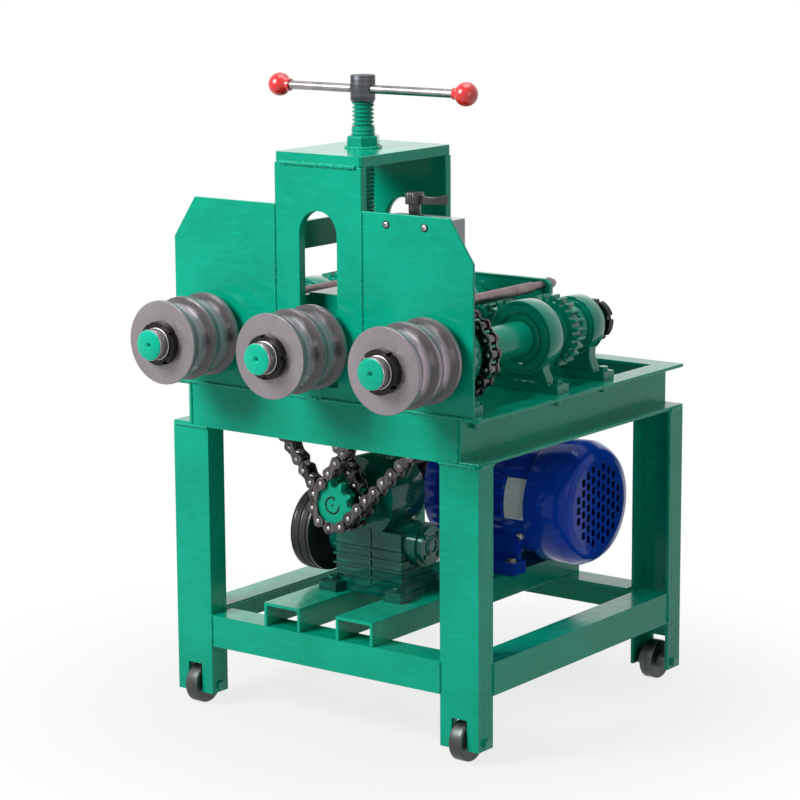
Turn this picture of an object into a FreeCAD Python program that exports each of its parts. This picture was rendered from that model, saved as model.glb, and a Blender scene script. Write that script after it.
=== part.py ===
import FreeCAD, Part
import math
import os
import Sketcher

V = FreeCAD.Vector
doc = FreeCAD.newDocument("ring_roller")
os.makedirs("parts", exist_ok=True)

# ---------------------------------------------------------------- sizes (mm)
SIZES = [
    # channel and angle steel of the welded stand
    ("chan_web", 80.0, "channel steel, width over the web"),
    ("chan_flange", 43.0, "channel steel, flange width"),
    ("chan_wall", 6.0, "channel steel, mean wall"),
    ("angle_leg", 58.0, "angle steel, leg width"),
    ("angle_wall", 6.0, "angle steel, wall"),
    ("stand_width", 666.0, "outside width of the stand over the leg webs"),
    ("stand_depth", 650.0, "outside depth of the stand"),
    ("leg_foot", 24.0, "height of the lower end of the legs"),
    ("leg_top", 515.0, "height of the leg tops, underside of the base"),
    ("rail_top", 172.0, "height of the top of the bottom rails"),
    ("motor_beam_pitch", 160.0, "spacing of the two cross channels in the bottom"),
    ("motor_beam_shift", -10.0, "middle of the cross channels from the centre"),
    # wheels
    ("wheel_radius", 36.0, "travelling wheel radius"),
    ("wheel_width", 26.0, "travelling wheel width"),
    ("axle_radius", 8.0, "wheel axle radius"),
    ("run_gap", 0.05, "radial running clearance of shafts and pins"),
    ("seat_gap", 0.3, "gap between faces of parts that move past each other"),
    # roller shafts
    ("shaft_pitch", 238.0, "spacing of the roller shafts"),
    ("shaft_rise", 93.0, "height of the shaft axes above the base"),
    ("shaft_radius", 29.0, "roller shaft radius"),
    ("seat_radius", 28.0, "shaft radius under the rollers and nuts"),
    ("nose_radius", 27.0, "radius of the free nose of the shafts"),
    ("shaft_nose", 169.0, "front end of the shafts ahead of the stand"),
    ("bore_radius", 5.0, "centre bore in the nose of each shaft"),
    ("bore_depth", 12.0, "depth of the centre bore"),
    ("roller_front", 134.0, "front face of the rollers ahead of the stand"),
    ("roller_length", 120.0, "length of a roller"),
    ("roller_radius", 73.0, "outside radius of a roller"),
    ("groove_radius", 28.5, "radius of the tube grooves"),
    ("groove_depth", 13.0, "depth of the tube grooves"),
    ("rim_width", 7.0, "width of each rim of a roller"),
    ("nut_radius", 38.0, "slotted ring nut radius"),
    ("nut_width", 14.0, "slotted ring nut width"),
    # front plates
    ("plate_width", 644.0, "width over both front plates"),
    ("plate_height", 330.0, "height of the front plates"),
    ("plate_wall", 6.0, "front plate thickness"),
    ("plate_cut_x", 48.0, "corner cut of the front plates, along the width"),
    ("plate_cut_z", 72.0, "corner cut of the front plates, height"),
    # press frame
    ("press_width", 186.0, "width of the press frame uprights"),
    ("press_depth", 258.0, "depth over both uprights"),
    ("press_height", 420.0, "height of the press frame above the base"),
    ("press_wall", 16.0, "thickness of the uprights"),
    ("top_wall", 18.0, "thickness of the top plate"),
    ("slot_width", 80.0, "width of the slots in the uprights"),
    ("slot_rise", 230.0, "top of the slots above the shaft axes"),
    ("slot_drop", 70.0, "bottom of the slots below the shaft axes"),
    ("strap_height", 48.0, "height of the tie straps"),
    ("strap_wall", 10.0, "thickness of the tie straps"),
    ("strap_level", 269.0, "middle of the tie straps above the base"),
    ("guide_wall", 12.0, "thickness of the slider guides"),
    ("guide_gap", 4.0, "top of the slider guides below the slider top"),
    # slider and screw
    ("slider_width", 124.0, "width of the slider block"),
    ("slider_depth", 150.0, "depth of the slider block"),
    ("slider_rise", 80.0, "top of the slider block above the shaft axes"),
    ("slider_drop", 60.0, "bottom of the slider block below the shaft axes"),
    ("screw_radius", 19.0, "press screw radius"),
    ("screw_head_radius", 21.5, "screw head radius"),
    ("screw_stand", 77.0, "top of the thread above the press frame"),
    ("screw_head", 48.0, "height of the screw head"),
    ("screw_nut_radius", 30.0, "press nut radius over the flats"),
    ("screw_nut_height", 20.0, "press nut height"),
    ("nut_boss_radius", 28.5, "boss under the press nut, radius"),
    ("nut_boss_height", 17.0, "boss under the press nut, height"),
    ("bar_radius", 7.5, "tommy bar radius"),
    ("bar_length", 400.0, "tommy bar length between the ball centres"),
    ("bar_level", 24.0, "height of the tommy bar in the screw head"),
    ("bar_shift", 17.0, "how far the bar is pushed through to the right"),
    ("ball_radius", 20.5, "ball knob radius"),
    # bearings and gears
    ("front_housing_radius", 62.0, "front bearing housing radius"),
    ("front_housing_depth", 50.0, "front bearing housing depth"),
    ("ring_radius", 65.0, "rear ring housing radius"),
    ("ring_depth", 36.0, "rear ring housing depth"),
    ("ring_gap", 4.0, "distance of the ring housings behind the rear upright"),
    ("pillow_radius", 53.0, "pillow block radius"),
    ("pillow_depth", 34.0, "pillow block depth"),
    ("pillow_y", 432.0, "middle plane of the pillow blocks"),
    ("foot_height", 16.0, "bearing foot thickness"),
    ("shaft_tail", 502.0, "rear end of the side shafts"),
    ("gear_module", 5.0, "module of the timing gears"),
    ("gear_teeth", 24.0, "teeth of the shaft gears"),
    ("idler_teeth", 12.0, "teeth of the idler gears"),
    ("gear_width", 26.0, "face width of the gears"),
    ("gear_y", 356.0, "middle plane of the gears"),
    ("idler_pin_radius", 12.0, "radius of the idler pins"),
    ("rod_x", 150.0, "stay rods, from the centre"),
    ("rod_rise", 60.0, "stay rods above the shaft axes"),
    ("rod_radius", 10.0, "radius of the stay rods"),
    ("stud_radius", 7.5, "radius of the rear studs of the stay rods"),
    ("bracket_wall", 12.0, "thickness of the rear bracket"),
    ("bracket_y", 458.0, "front face of the rear bracket"),
    ("ball_seat_radius", 34.0, "crowned end of the centre shaft, radius"),
    ("bush_radius", 40.0, "swivel bush radius in the slider"),
    # chain drive
    ("chain_pitch", 25.4, "roller chain pitch"),
    ("chain_y", 82.0, "plane of the right chain"),
    ("chain_step", 34.0, "distance between the two chain planes"),
    ("big_teeth", 16.0, "teeth of the shaft sprockets"),
    ("small_teeth", 10.0, "teeth of the gearbox sprockets"),
    ("sprocket_width", 14.5, "sprocket face width"),
    ("sprocket_hub", 12.0, "shaft sprocket hub, length behind the teeth"),
    ("chain_inside", 15.8, "inside width of the chain"),
    ("link_wall", 3.0, "chain plate thickness"),
    ("link_height", 23.0, "chain plate height"),
    ("chain_roller_radius", 7.9, "chain roller radius"),
    # gearbox
    ("box_shift", -33.0, "gearbox output shaft, from the centre"),
    ("out_rise", 174.0, "gearbox output shaft above the cross channels"),
    ("worm_rise", 94.0, "worm shaft above the cross channels"),
    ("worm_y", 201.0, "worm shaft, from the front of the stand"),
    ("case_shift", 19.0, "middle of the gearbox case from the output shaft"),
    ("case_width", 190.0, "gearbox case width over the worm housing"),
    ("case_depth", 96.0, "gearbox case depth"),
    ("case_foot", 18.0, "gearbox foot thickness"),
    ("case_wheel_radius", 74.0, "gearbox case radius over the wheel"),
    ("worm_case_radius", 40.0, "worm housing radius"),
    ("out_radius", 16.0, "output shaft radius"),
    ("worm_radius", 11.0, "worm shaft radius"),
    # belt drive and motor
    ("pulley_plane", -150.0, "middle plane of the belts, from the centre"),
    ("big_pulley_radius", 75.0, "driven pulley radius"),
    ("small_pulley_radius", 36.0, "motor pulley radius"),
    ("pulley_width", 40.0, "pulley width"),
    ("belt_pitch", 15.0, "spacing of the two belts"),
    ("belt_width", 10.0, "belt top width"),
    ("belt_height", 8.0, "belt height"),
    ("motor_y", 510.0, "motor axis, from the front of the stand"),
    ("motor_axis_height", 130.0, "motor axis above the cross channels"),
    ("motor_radius", 107.0, "motor body radius"),
    ("motor_start", -78.0, "front end of the motor body from the centre"),
    ("motor_length", 238.0, "motor body length"),
    ("cover_radius", 115.0, "fan cover radius"),
    ("cover_length", 90.0, "fan cover length"),
    ("cover_face", 86.0, "radius of the flat face of the fan cover"),
    ("cover_wall", 2.0, "fan cover wall"),
    ("motor_shaft_radius", 12.0, "motor shaft radius"),
    # switch
    ("switch_right", 268.0, "right face of the switch box from the centre"),
    ("switch_width", 136.0, "switch box width"),
    ("switch_depth", 48.0, "switch box depth"),
    ("switch_height", 118.0, "switch box height"),
    ("switch_rise", -5.0, "top of the switch box above the front plates"),
    ("lever_length", 66.0, "switch lever length"),
    ("lever_hub", 16.0, "switch lever hub radius"),
    ("lever_rise", 40.0, "top of the lever hub above the switch box"),
    ("motor_foot", 24.0, "thickness of the motor feet"),
    ("bolt_radius", 9.0, "foot bolt head radius over the corners"),
    ("bolt_height", 8.0, "foot bolt head height"),
]
sheet = doc.addObject("Spreadsheet::Sheet", "sizes")
for row, (name, value, note) in enumerate(SIZES, start=1):
    sheet.set("A%d" % row, name)
    sheet.set("B%d" % row, repr(value))
    sheet.set("C%d" % row, note)
    sheet.setAlias("B%d" % row, name)
doc.recompute()


class Q:
    """A number together with the sheet expression that gives it."""

    def __init__(self, v, e=None):
        self.v = float(v)
        self.e = e if e is not None else "(%.9g)" % float(v)

    def __add__(self, o):
        o = q(o)
        return Q(self.v + o.v, "(%s + %s)" % (self.e, o.e))

    def __sub__(self, o):
        o = q(o)
        return Q(self.v - o.v, "(%s - %s)" % (self.e, o.e))

    def __mul__(self, o):
        o = q(o)
        return Q(self.v * o.v, "(%s * %s)" % (self.e, o.e))

    def __truediv__(self, o):
        o = q(o)
        return Q(self.v / o.v, "(%s / %s)" % (self.e, o.e))

    def __radd__(self, o):
        return q(o) + self

    def __rsub__(self, o):
        return q(o) - self

    def __rmul__(self, o):
        return q(o) * self

    def __neg__(self):
        return Q(-self.v, "(0 - %s)" % self.e)

    def __float__(self):
        return self.v


def q(x):
    return x if isinstance(x, Q) else Q(x)


def root(x):
    return Q(math.sqrt(x.v), "sqrt(%s)" % x.e)


def S(name):
    return Q(float(getattr(sheet, name)), "sizes.%s" % name)


# ------------------------------------------------------- derived positions
WEB, FLA, WALL = S("chan_web"), S("chan_flange"), S("chan_wall")
HALF = S("stand_width") / 2
# the origin lies on the floor in the middle of the overall box, so the whole
# stand is set back or forward by this amount
# (the rear wheels stand out behind the legs, the shaft noses in front)
YC = (S("stand_depth") + S("wheel_radius") - FLA / 2 - S("shaft_nose")) / 2
FRONT = -YC                       # front plane of the stand
BACK = FRONT + S("stand_depth")
BASE_TOP = S("leg_top") + WEB
ZS = BASE_TOP + S("shaft_rise")
PITCH = S("shaft_pitch")
GAP, RUN = S("seat_gap"), S("run_gap")
Y = lambda name: FRONT + S(name)


# ------------------------------------------------------------ small helpers
def bind(obj, prop, value):
    obj.setExpression(prop, q(value).e)


def place(obj, at, rot=None):
    obj.Placement = FreeCAD.Placement(V(*[q(a).v for a in at]), rot or FreeCAD.Rotation())
    for axis, a in zip("xyz", at):
        bind(obj, "Placement.Base." + axis, a)
    return obj


ROT = {
    "z": FreeCAD.Rotation(),
    "y": FreeCAD.Rotation(V(1, 0, 0), -90),   # local z -> +Y, local y -> -Z
    "x": FreeCAD.Rotation(V(0, 1, 0), 90),    # local z -> +X, local x -> -Z
}
serial = [0]


def uid(name):
    serial[0] += 1
    return "%s_%d" % (name, serial[0])


def box(size, at):
    o = doc.addObject("Part::Box", uid("box"))
    for prop, s in zip(("Length", "Width", "Height"), size):
        bind(o, prop, s)
    return place(o, at)


def cyl(r, length, at, axis="z"):
    o = doc.addObject("Part::Cylinder", uid("cyl"))
    bind(o, "Radius", r)
    bind(o, "Height", length)
    return place(o, at, ROT[axis])


def cone(r1, r2, length, at, axis="z"):
    o = doc.addObject("Part::Cone", uid("cone"))
    bind(o, "Radius1", r1)
    bind(o, "Radius2", r2)
    bind(o, "Height", length)
    return place(o, at, ROT[axis])


def ball(r, at):
    o = doc.addObject("Part::Sphere", uid("ball"))
    bind(o, "Radius", r)
    return place(o, at)


def prism(r, n, length, at, axis="z"):
    o = doc.addObject("Part::Prism", uid("prism"))
    o.Polygon = n
    bind(o, "Circumradius", r)
    bind(o, "Height", length)
    return place(o, at, ROT[axis])


def fuse(*parts):
    o = doc.addObject("Part::MultiFuse", uid("fuse"))
    o.Shapes = list(parts)
    return o


def cut(base, *tools):
    o = doc.addObject("Part::Cut", uid("cut"))
    o.Base = base
    o.Tool = tools[0] if len(tools) == 1 else fuse(*tools)
    return o


def group(*parts):
    o = doc.addObject("Part::Compound", uid("group"))
    o.Links = list(parts)
    return o


NODES = []


def node(name, obj):
    obj.Label = name
    NODES.append((name, obj))
    return obj


def body(points, length, at, rot=None, arcs=(), midplane=False):
    """A padded profile: points are (x, y) pairs of the closed outline in the
    first quadrant of the sketch, padded along the sketch normal.  arcs holds
    the indices of the outline's sides that are half circles bulging to +y."""
    b = doc.addObject("PartDesign::Body", uid("body"))
    sk = b.newObject("Sketcher::SketchObject", uid("outline"))
    plane = [f for f in b.Origin.OriginFeatures if f.Role == "XY_Plane"][0]
    sk.AttachmentSupport = [(plane, "")]
    sk.MapMode = "FlatFace"
    n = len(points)
    geo = []
    for i in range(n):
        a, c = points[i], points[(i + 1) % n]
        p, r = V(q(a[0]).v, q(a[1]).v, 0), V(q(c[0]).v, q(c[1]).v, 0)
        geo.append(Part.LineSegment(p, r))
    sk.addGeometry(geo, False)
    cons = []
    for i in range(n):
        cons.append(Sketcher.Constraint("Coincident", i, 2, (i + 1) % n, 1))
    sk.addConstraint(cons)
    for i in range(n):
        for kind, a in (("DistanceX", points[i][0]), ("DistanceY", points[i][1])):
            a = q(a)
            if a.e == "(0)":
                k = sk.addConstraint(Sketcher.Constraint("PointOnObject", i, 1, -2 if kind == "DistanceX" else -1))
            else:
                k = sk.addConstraint(Sketcher.Constraint(kind, -1, 1, i, 1, a.v))
                sk.setExpression("Constraints[%d]" % k, a.e)
    pad = b.newObject("PartDesign::Pad", uid("pad"))
    pad.Profile = sk
    bind(pad, "Length", length)
    pad.Midplane = midplane
    b.Tip = pad
    place(b, at, rot)
    return b


def turned(points, at, rot=None):
    """A revolved piece: points are (radius, height) pairs of the closed
    profile, turned about the local z axis."""
    b = doc.addObject("PartDesign::Body", uid("turned"))
    sk = b.newObject("Sketcher::SketchObject", uid("profile"))
    plane = [f for f in b.Origin.OriginFeatures if f.Role == "XZ_Plane"][0]
    sk.AttachmentSupport = [(plane, "")]
    sk.MapMode = "FlatFace"
    n = len(points)
    geo, cons, arc_of = [], [], {}
    for i in range(n):
        a, c = points[i], points[(i + 1) % n]
        geo.append(Part.LineSegment(V(q(a[0]).v, q(a[1]).v, 0), V(q(c[0]).v, q(c[1]).v, 0)))
    sk.addGeometry(geo, False)
    for i in range(n):
        cons.append(Sketcher.Constraint("Coincident", i, 2, (i + 1) % n, 1))
    sk.addConstraint(cons)
    for i in range(n):
        for kind, a in (("DistanceX", points[i][0]), ("DistanceY", points[i][1])):
            a = q(a)
            if a.e == "(0)":
                sk.addConstraint(Sketcher.Constraint("PointOnObject", i, 1, -2 if kind == "DistanceX" else -1))
            else:
                k = sk.addConstraint(Sketcher.Constraint(kind, -1, 1, i, 1, a.v))
                sk.setExpression("Constraints[%d]" % k, a.e)
    rev = b.newObject("PartDesign::Revolution", uid("revolve"))
    rev.Profile = sk
    rev.ReferenceAxis = (sk, ["V_Axis"])
    rev.Angle = 360.0
    b.Tip = rev
    place(b, at, rot)
    return b


def channel(length, at, rot):
    """U channel: web on the local y = 0 side, flanges along +y, run along z."""
    return body([(0, 0), (WEB, 0), (WEB, FLA), (WEB - WALL, FLA), (WEB - WALL, WALL),
                 (WALL, WALL), (WALL, FLA), (0, FLA)], length, at, rot)


def angle(length, at, rot):
    """L angle: legs along local x and y from the corner, run along z."""
    a, w = S("angle_leg"), S("angle_wall")
    return body([(0, 0), (a, 0), (a, w), (w, w), (w, a), (0, a)], length, at, rot)


def frame_rot(x_axis, y_axis):
    """Rotation whose local x and y axes point along the given directions."""
    x, y = V(*x_axis), V(*y_axis)
    z = x.cross(y)
    m = FreeCAD.Matrix(x.x, y.x, z.x, 0, x.y, y.y, z.y, 0, x.z, y.z, z.z, 0, 0, 0, 0, 1)
    return FreeCAD.Placement(m).Rotation


def teeth_outline(count, r_root, r_tip, root_share, tip_share, phase):
    """Closed outline of straight-flanked teeth; the shares are the parts of
    the pitch that a tooth covers at its root and at its tip."""
    pts = []
    step = 360.0 / count
    for i in range(count):
        c = phase + i * step
        for r, a in ((r_root, -root_share / 2), (r_tip, -tip_share / 2),
                     (r_tip, tip_share / 2), (r_root, root_share / 2)):
            t = math.radians(c + a * step)
            pts.append(V(r * math.cos(t), r * math.sin(t), 0))
    pts.append(pts[0])
    return Part.makePolygon(pts)


def feature(shape, at=None):
    o = doc.addObject("Part::Feature", uid("shape"))
    o.Shape = Part.makeCompound([shape])
    if at is not None:
        place(o, at)
    return o


def spur(teeth, phase, bore, hub_r, hub_half):
    """Spur gear about local -Y..+Y with its middle plane at y = 0, drawn in
    the X-Z plane; phase is the angle of one tooth from +X towards +Z."""
    m, w = S("gear_module").v, S("gear_width").v
    r = m * teeth / 2
    wire = teeth_outline(teeth, r - 1.18 * m, r + 0.94 * m, 0.66, 0.25, phase)
    g = Part.Face(wire).extrude(V(0, 0, w))
    g.translate(V(0, 0, -w / 2))
    if hub_r > 0:
        g = g.fuse(Part.makeCylinder(hub_r, 2 * hub_half, V(0, 0, -hub_half)))
    g = g.cut(Part.makeCylinder(bore, 400, V(0, 0, -200)))
    g.rotate(V(0, 0, 0), V(1, 0, 0), 90)      # local z -> -Y, x stays, y -> +Z
    return g


# ------------------------------------------------------------------ the stand
leg_len = S("leg_top") - S("leg_foot")
wheel_r, wheel_w = S("wheel_radius"), S("wheel_width")
notch_w = wheel_w + 6
notch_h = wheel_r * 2 + 5 - S("leg_foot")
leg_mid = HALF - WEB / 2
FORWARD = frame_rot((1, 0, 0), (0, 1, 0))
BACKWARD = frame_rot((-1, 0, 0), (0, -1, 0))


def leg(x_mid, rear):
    if rear:
        c = channel(leg_len, (x_mid + WEB / 2, BACK, S("leg_foot")), BACKWARD)
        y0 = BACK - WALL - 1
        ya = BACK - FLA / 2
    else:
        c = channel(leg_len, (x_mid - WEB / 2, FRONT, S("leg_foot")), FORWARD)
        y0 = FRONT - 1
        ya = FRONT + FLA / 2
    notch = box((notch_w, WALL + 2, notch_h), (x_mid - notch_w / 2, y0, S("leg_foot")))
    hole = cyl(S("axle_radius"), WEB + 4, (x_mid - WEB / 2 - 2, ya, wheel_r), "x")
    return cut(c, notch, hole)


node("front_legs", group(leg(-leg_mid, False), leg(leg_mid, False)))
node("rear_legs", group(leg(-leg_mid, True), leg(leg_mid, True)))


def axle(x_mid, ya):
    return cyl(S("axle_radius"), WEB + 12, (x_mid - WEB / 2 - 6, ya, wheel_r), "x")


YF, YR = FRONT + FLA / 2, BACK - FLA / 2
node("wheel_axles", group(axle(-leg_mid, YF), axle(leg_mid, YF), axle(-leg_mid, YR), axle(leg_mid, YR)))


def wheel(x_mid, ya):
    rb = S("axle_radius") + RUN
    w, hub = wheel_w / 2, WEB / 2 - WALL - GAP
    mid = hub
    return turned([(rb, 0), (rb + 6, 0), (rb + 6, mid - w), (wheel_r - 2, mid - w), (wheel_r, mid - w + 2),
                   (wheel_r, mid + w - 2), (wheel_r - 2, mid + w), (rb + 6, mid + w), (rb + 6, hub * 2),
                   (rb, hub * 2)], (x_mid - hub, ya, wheel_r), ROT["x"])


node("wheel_front_left", wheel(-leg_mid, YF))
node("wheel_front_right", wheel(leg_mid, YF))
node("wheel_rear_left", wheel(-leg_mid, YR))
node("wheel_rear_right", wheel(leg_mid, YR))

RT, ALEG = S("rail_top"), S("angle_leg")
between_x = S("stand_width") - 2 * WEB
# long rails between the webs of the legs, vertical leg outwards, other inwards
rail_f = angle(between_x, (-HALF + WEB, FRONT, RT), frame_rot((0, 0, -1), (0, 1, 0)))
rail_b = angle(between_x, (HALF - WEB, BACK, RT), frame_rot((0, 0, -1), (0, -1, 0)))
node("long_rails", group(rail_f, rail_b))
between_y = S("stand_depth") - 2 * FLA
rail_r = angle(between_y, (HALF, FRONT + FLA, RT), frame_rot((0, 0, -1), (-1, 0, 0)))
rail_l = angle(between_y, (-HALF, BACK - FLA, RT), frame_rot((0, 0, -1), (1, 0, 0)))
node("side_rails", group(rail_r, rail_l))

# two cross channels, web up, that carry the motor and the gearbox
MB, MS = S("motor_beam_pitch") / 2, S("motor_beam_shift")
BEAM_TOP = RT + FLA


beams = [channel(S("stand_depth"), (MS + side * MB - WEB / 2, FRONT, BEAM_TOP), frame_rot((1, 0, 0), (0, 0, -1)))
         for side in (-1, 1)]
node("motor_beams", group(*beams))

# upper base
LT = S("leg_top")
IN = HALF - FLA
side_r = channel(S("stand_depth"), (IN, FRONT, LT), frame_rot((0, 0, 1), (1, 0, 0)))
side_l = channel(S("stand_depth"), (-IN, BACK, LT), frame_rot((0, 0, 1), (-1, 0, 0)))
node("base_side_beams", group(side_r, side_l))
node("base_front_apron", channel(IN * 2, (IN, FRONT, LT), frame_rot((0, 0, 1), (0, 1, 0))))
node("base_rear_apron", channel(IN * 2, (-IN, BACK, LT), frame_rot((0, 0, 1), (0, -1, 0))))
mid_y = Y("press_depth") - S("press_wall") - 8
rear_y = Y("pillow_y") - S("pillow_depth") / 2 - 10
beam_m = channel(IN * 2, (IN, mid_y, BASE_TOP), frame_rot((0, 1, 0), (0, 0, -1)))
beam_r = channel(IN * 2, (IN, rear_y, BASE_TOP), frame_rot((0, 1, 0), (0, 0, -1)))
node("base_cross_beams", group(beam_m, beam_r))

# ------------------------------------------------------- front plates, uprights
PH = S("plate_width") / 2
UW = S("press_width") / 2
plate_h, PCX, PCZ, PW = S("plate_height"), S("plate_cut_x"), S("plate_cut_z"), S("plate_wall")
PT = BASE_TOP + plate_h
SR = S("shaft_radius")
wing_w = PH - UW


def wing(side):
    pts = [(0, 0), (wing_w, 0), (wing_w, plate_h - PCZ), (wing_w - PCX, plate_h), (0, plate_h)]
    if side > 0:
        w = body(pts, PW, (UW, FRONT + PW, BASE_TOP), frame_rot((1, 0, 0), (0, 0, 1)))
    else:
        w = body(pts, PW, (-UW, FRONT, BASE_TOP), frame_rot((-1, 0, 0), (0, 0, 1)))
    hole = cyl(SR + 4, PW + 4, (side * PITCH, FRONT - 2, ZS), "y")
    return cut(w, hole)


node("front_plate_left", wing(-1))
node("front_plate_right", wing(1))

PTOP = BASE_TOP + S("press_height")
UTOP = PTOP - S("top_wall")
SW, ST, SF, UT = S("slot_width") / 2, ZS + S("slot_rise"), ZS - S("slot_drop"), S("press_wall")


def upright(y0):
    plate = box((UW * 2, UT, UTOP - BASE_TOP), (-UW, y0, BASE_TOP))
    slot = box((SW * 2, UT + 4, ST - SW - SF), (-SW, y0 - 2, SF))
    arch = cyl(SW, UT + 4, (0, y0 - 2, ST - SW), "y")
    return cut(plate, slot, arch)


UR = Y("press_depth") - UT
node("upright_front", upright(FRONT))
node("upright_rear", upright(UR))
INNER = S("press_depth") - UT * 2
STH, STW, STL = S("strap_height"), S("strap_wall"), BASE_TOP + S("strap_level")
node("tie_straps", group(box((STW, INNER, STH), (UW - STW, FRONT + UT, STL - STH / 2)),
                         box((STW, INNER, STH), (-UW, FRONT + UT, STL - STH / 2))))
SLW = S("slider_width") / 2
SLT, SLF = ZS + S("slider_rise"), ZS - S("slider_drop")
GW, GT = S("guide_wall"), SLT - S("guide_gap")
gfoot = SLF
node("slider_guides", group(box((GW, INNER, GT - gfoot), (SLW + GAP, FRONT + UT, gfoot)),
                            box((GW, INNER, GT - gfoot), (-SLW - GAP - GW, FRONT + UT, gfoot))))
SCR = S("screw_radius")
SY = FRONT + S("press_depth") / 2
corner = S("top_wall") * 0.25
top = body([(corner, 0), (UW * 2 - corner, 0), (UW * 2, corner), (UW * 2, S("press_depth") - corner),
            (UW * 2 - corner, S("press_depth")), (corner, S("press_depth")), (0, S("press_depth") - corner),
            (0, corner)], S("top_wall"), (-UW, FRONT, UTOP))
node("top_plate", cut(top, cyl(SCR + 1, S("top_wall") + 4, (0, SY, UTOP - 2))))
boss = cyl(S("nut_boss_radius"), S("nut_boss_height"), (0, SY, PTOP))
hexnut = prism(S("screw_nut_radius"), 6, S("screw_nut_height"), (0, SY, PTOP + S("nut_boss_height")))
node("press_nut", cut(fuse(boss, hexnut), cyl(SCR + RUN, 60, (0, SY, PTOP - 5))))

# ------------------------------------------------------------ slider and screw
SLD = S("slider_depth")
BR = S("bush_radius")
socket_d = S("screw_radius")
block = box((SLW * 2, SLD, SLT - SLF), (-SLW, SY - SLD / 2, SLF))
node("slider_block", cut(block, cyl(BR + RUN, SLD + 4, (0, SY - SLD / 2 - 2, ZS), "y"),
                         cyl(SCR + RUN, socket_d + 2, (0, SY, SLT - socket_d))))
HR, STT = S("screw_head_radius"), PTOP + S("screw_stand")
STP = STT + S("screw_head")
BL, BRR = STT + S("bar_level"), S("bar_radius")
stem = cyl(SCR, STT - SLT + socket_d - GAP, (0, SY, SLT - socket_d + GAP))
head = cyl(HR, STP - STT, (0, SY, STT))
node("press_screw", cut(fuse(stem, head), cyl(BRR + RUN, HR * 4, (-HR * 2, SY, BL), "x")))
BS, BLEN = S("bar_shift"), S("bar_length")
BALL = S("ball_radius")
neck = BALL * 0.8
node("tommy_bar", cyl(BRR, BLEN - neck * 2, (BS - BLEN / 2 + neck, SY, BL), "x"))


def knob(side):
    x0 = BS + side * (BLEN / 2)
    k = ball(BALL, (x0, SY, BL))
    c = BALL * 0.5
    bore = BRR + 0.1
    if side > 0:
        stem = cyl(c, BALL * 1.2, (x0 - BALL * 1.2, SY, BL), "x")
        return cut(fuse(k, stem), cyl(bore, BALL * 2, (x0 - neck - BALL * 2 + 0.2, SY, BL), "x"))
    stem = cyl(c, BALL * 1.2, (x0, SY, BL), "x")
    return cut(fuse(k, stem), cyl(bore, BALL * 2, (x0 + neck - 0.2, SY, BL), "x"))


node("ball_knobs", group(knob(-1), knob(1)))

# ------------------------------------------------------- roller shafts, rollers
NOSE, RF, RL = FRONT - S("shaft_nose"), FRONT - S("roller_front"), S("roller_length")
RR, RG, GD, RIM = S("roller_radius"), S("groove_radius"), S("groove_depth"), S("rim_width")
BD = S("bore_depth")
NR, NW = S("nut_radius"), S("nut_width")
SEAT, NOR = S("seat_radius"), S("nose_radius")
Ysp, Yg = Y("chain_y"), Y("gear_y")
TAIL = Y("shaft_tail")


def roller(x):
    """Three narrow rims with two wide tube grooves between them."""
    pts = [(SEAT, 0), (RR - 2, 0), (RR, 2)]
    half = math.acos(1 - GD.v / RG.v)
    mid = (RL - RIM * 3) / 4 + RIM
    for c in (mid, RL - mid):
        for k in range(-4, 5):
            t = half * k / 4
            pts.append((RR - GD + RG * round(1 - math.cos(t), 9), c + RG * round(math.sin(t), 9)))
    pts += [(RR, RL - 2), (RR - 2, RL), (SEAT, RL)]
    return turned(pts, (x, RF, ZS), ROT["y"])


node("roller_left", roller(-PITCH))
node("roller_right", roller(PITCH))
node("roller_centre", roller(q(0)))


def ring_nut(x, y0):
    """Slotted ring nut with four key slots."""
    n = cyl(NR, NW, (x, y0, ZS), "y")
    k = [box((8, NW + 2, 10), (x - 4, y0 - 1, ZS + NR - 5)), box((8, NW + 2, 10), (x - 4, y0 - 1, ZS - NR - 5)),
         box((10, NW + 2, 8), (x + NR - 5, y0 - 1, ZS - 4)), box((10, NW + 2, 8), (x - NR - 5, y0 - 1, ZS - 4))]
    return cut(n, cyl(SEAT, NW + 2, (x, y0 - 1, ZS), "y"), *k)


def side_shaft(x):
    nose = cyl(NOR, RF - NW - NOSE, (x, NOSE, ZS), "y")
    seat = cyl(SEAT, RL + NW, (x, RF - NW, ZS), "y")
    main = cyl(SR, TAIL - NW - (RF + RL), (x, RF + RL, ZS), "y")
    tail = cyl(SEAT, NW, (x, TAIL - NW, ZS), "y")
    start = Ysp + S("chain_step") + S("sprocket_width") / 2 + S("sprocket_hub")
    collar = cyl(SR + 1.5, Y("press_depth") + S("ring_gap") - 4 - GAP - start, (x, start, ZS), "y")
    return cut(fuse(nose, seat, main, tail, collar), cyl(S("bore_radius"), BD + 1, (x, NOSE - 1, ZS), "y"))


def side_shaft_node(x):
    return group(side_shaft(x), ring_nut(x, RF - NW), cut(cyl(NR, NW, (x, TAIL - NW, ZS), "y"),
                                                          cyl(SEAT, NW + 2, (x, TAIL - NW - 1, ZS), "y")))


node("shaft_left", side_shaft_node(-PITCH))
node("shaft_right", side_shaft_node(PITCH))

BSR = S("ball_seat_radius")
cs = fuse(cyl(NOR, RF - NW - NOSE, (0, NOSE, ZS), "y"), cyl(SEAT, RL + NW, (0, RF - NW, ZS), "y"),
          cyl(SR, Yg - (RF + RL), (0, RF + RL, ZS), "y"), ball(BSR, (0, Yg, ZS)))
node("shaft_centre", group(cut(cs, cyl(S("bore_radius"), BD + 1, (0, NOSE - 1, ZS), "y")), ring_nut(q(0), RF - NW)))

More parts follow.
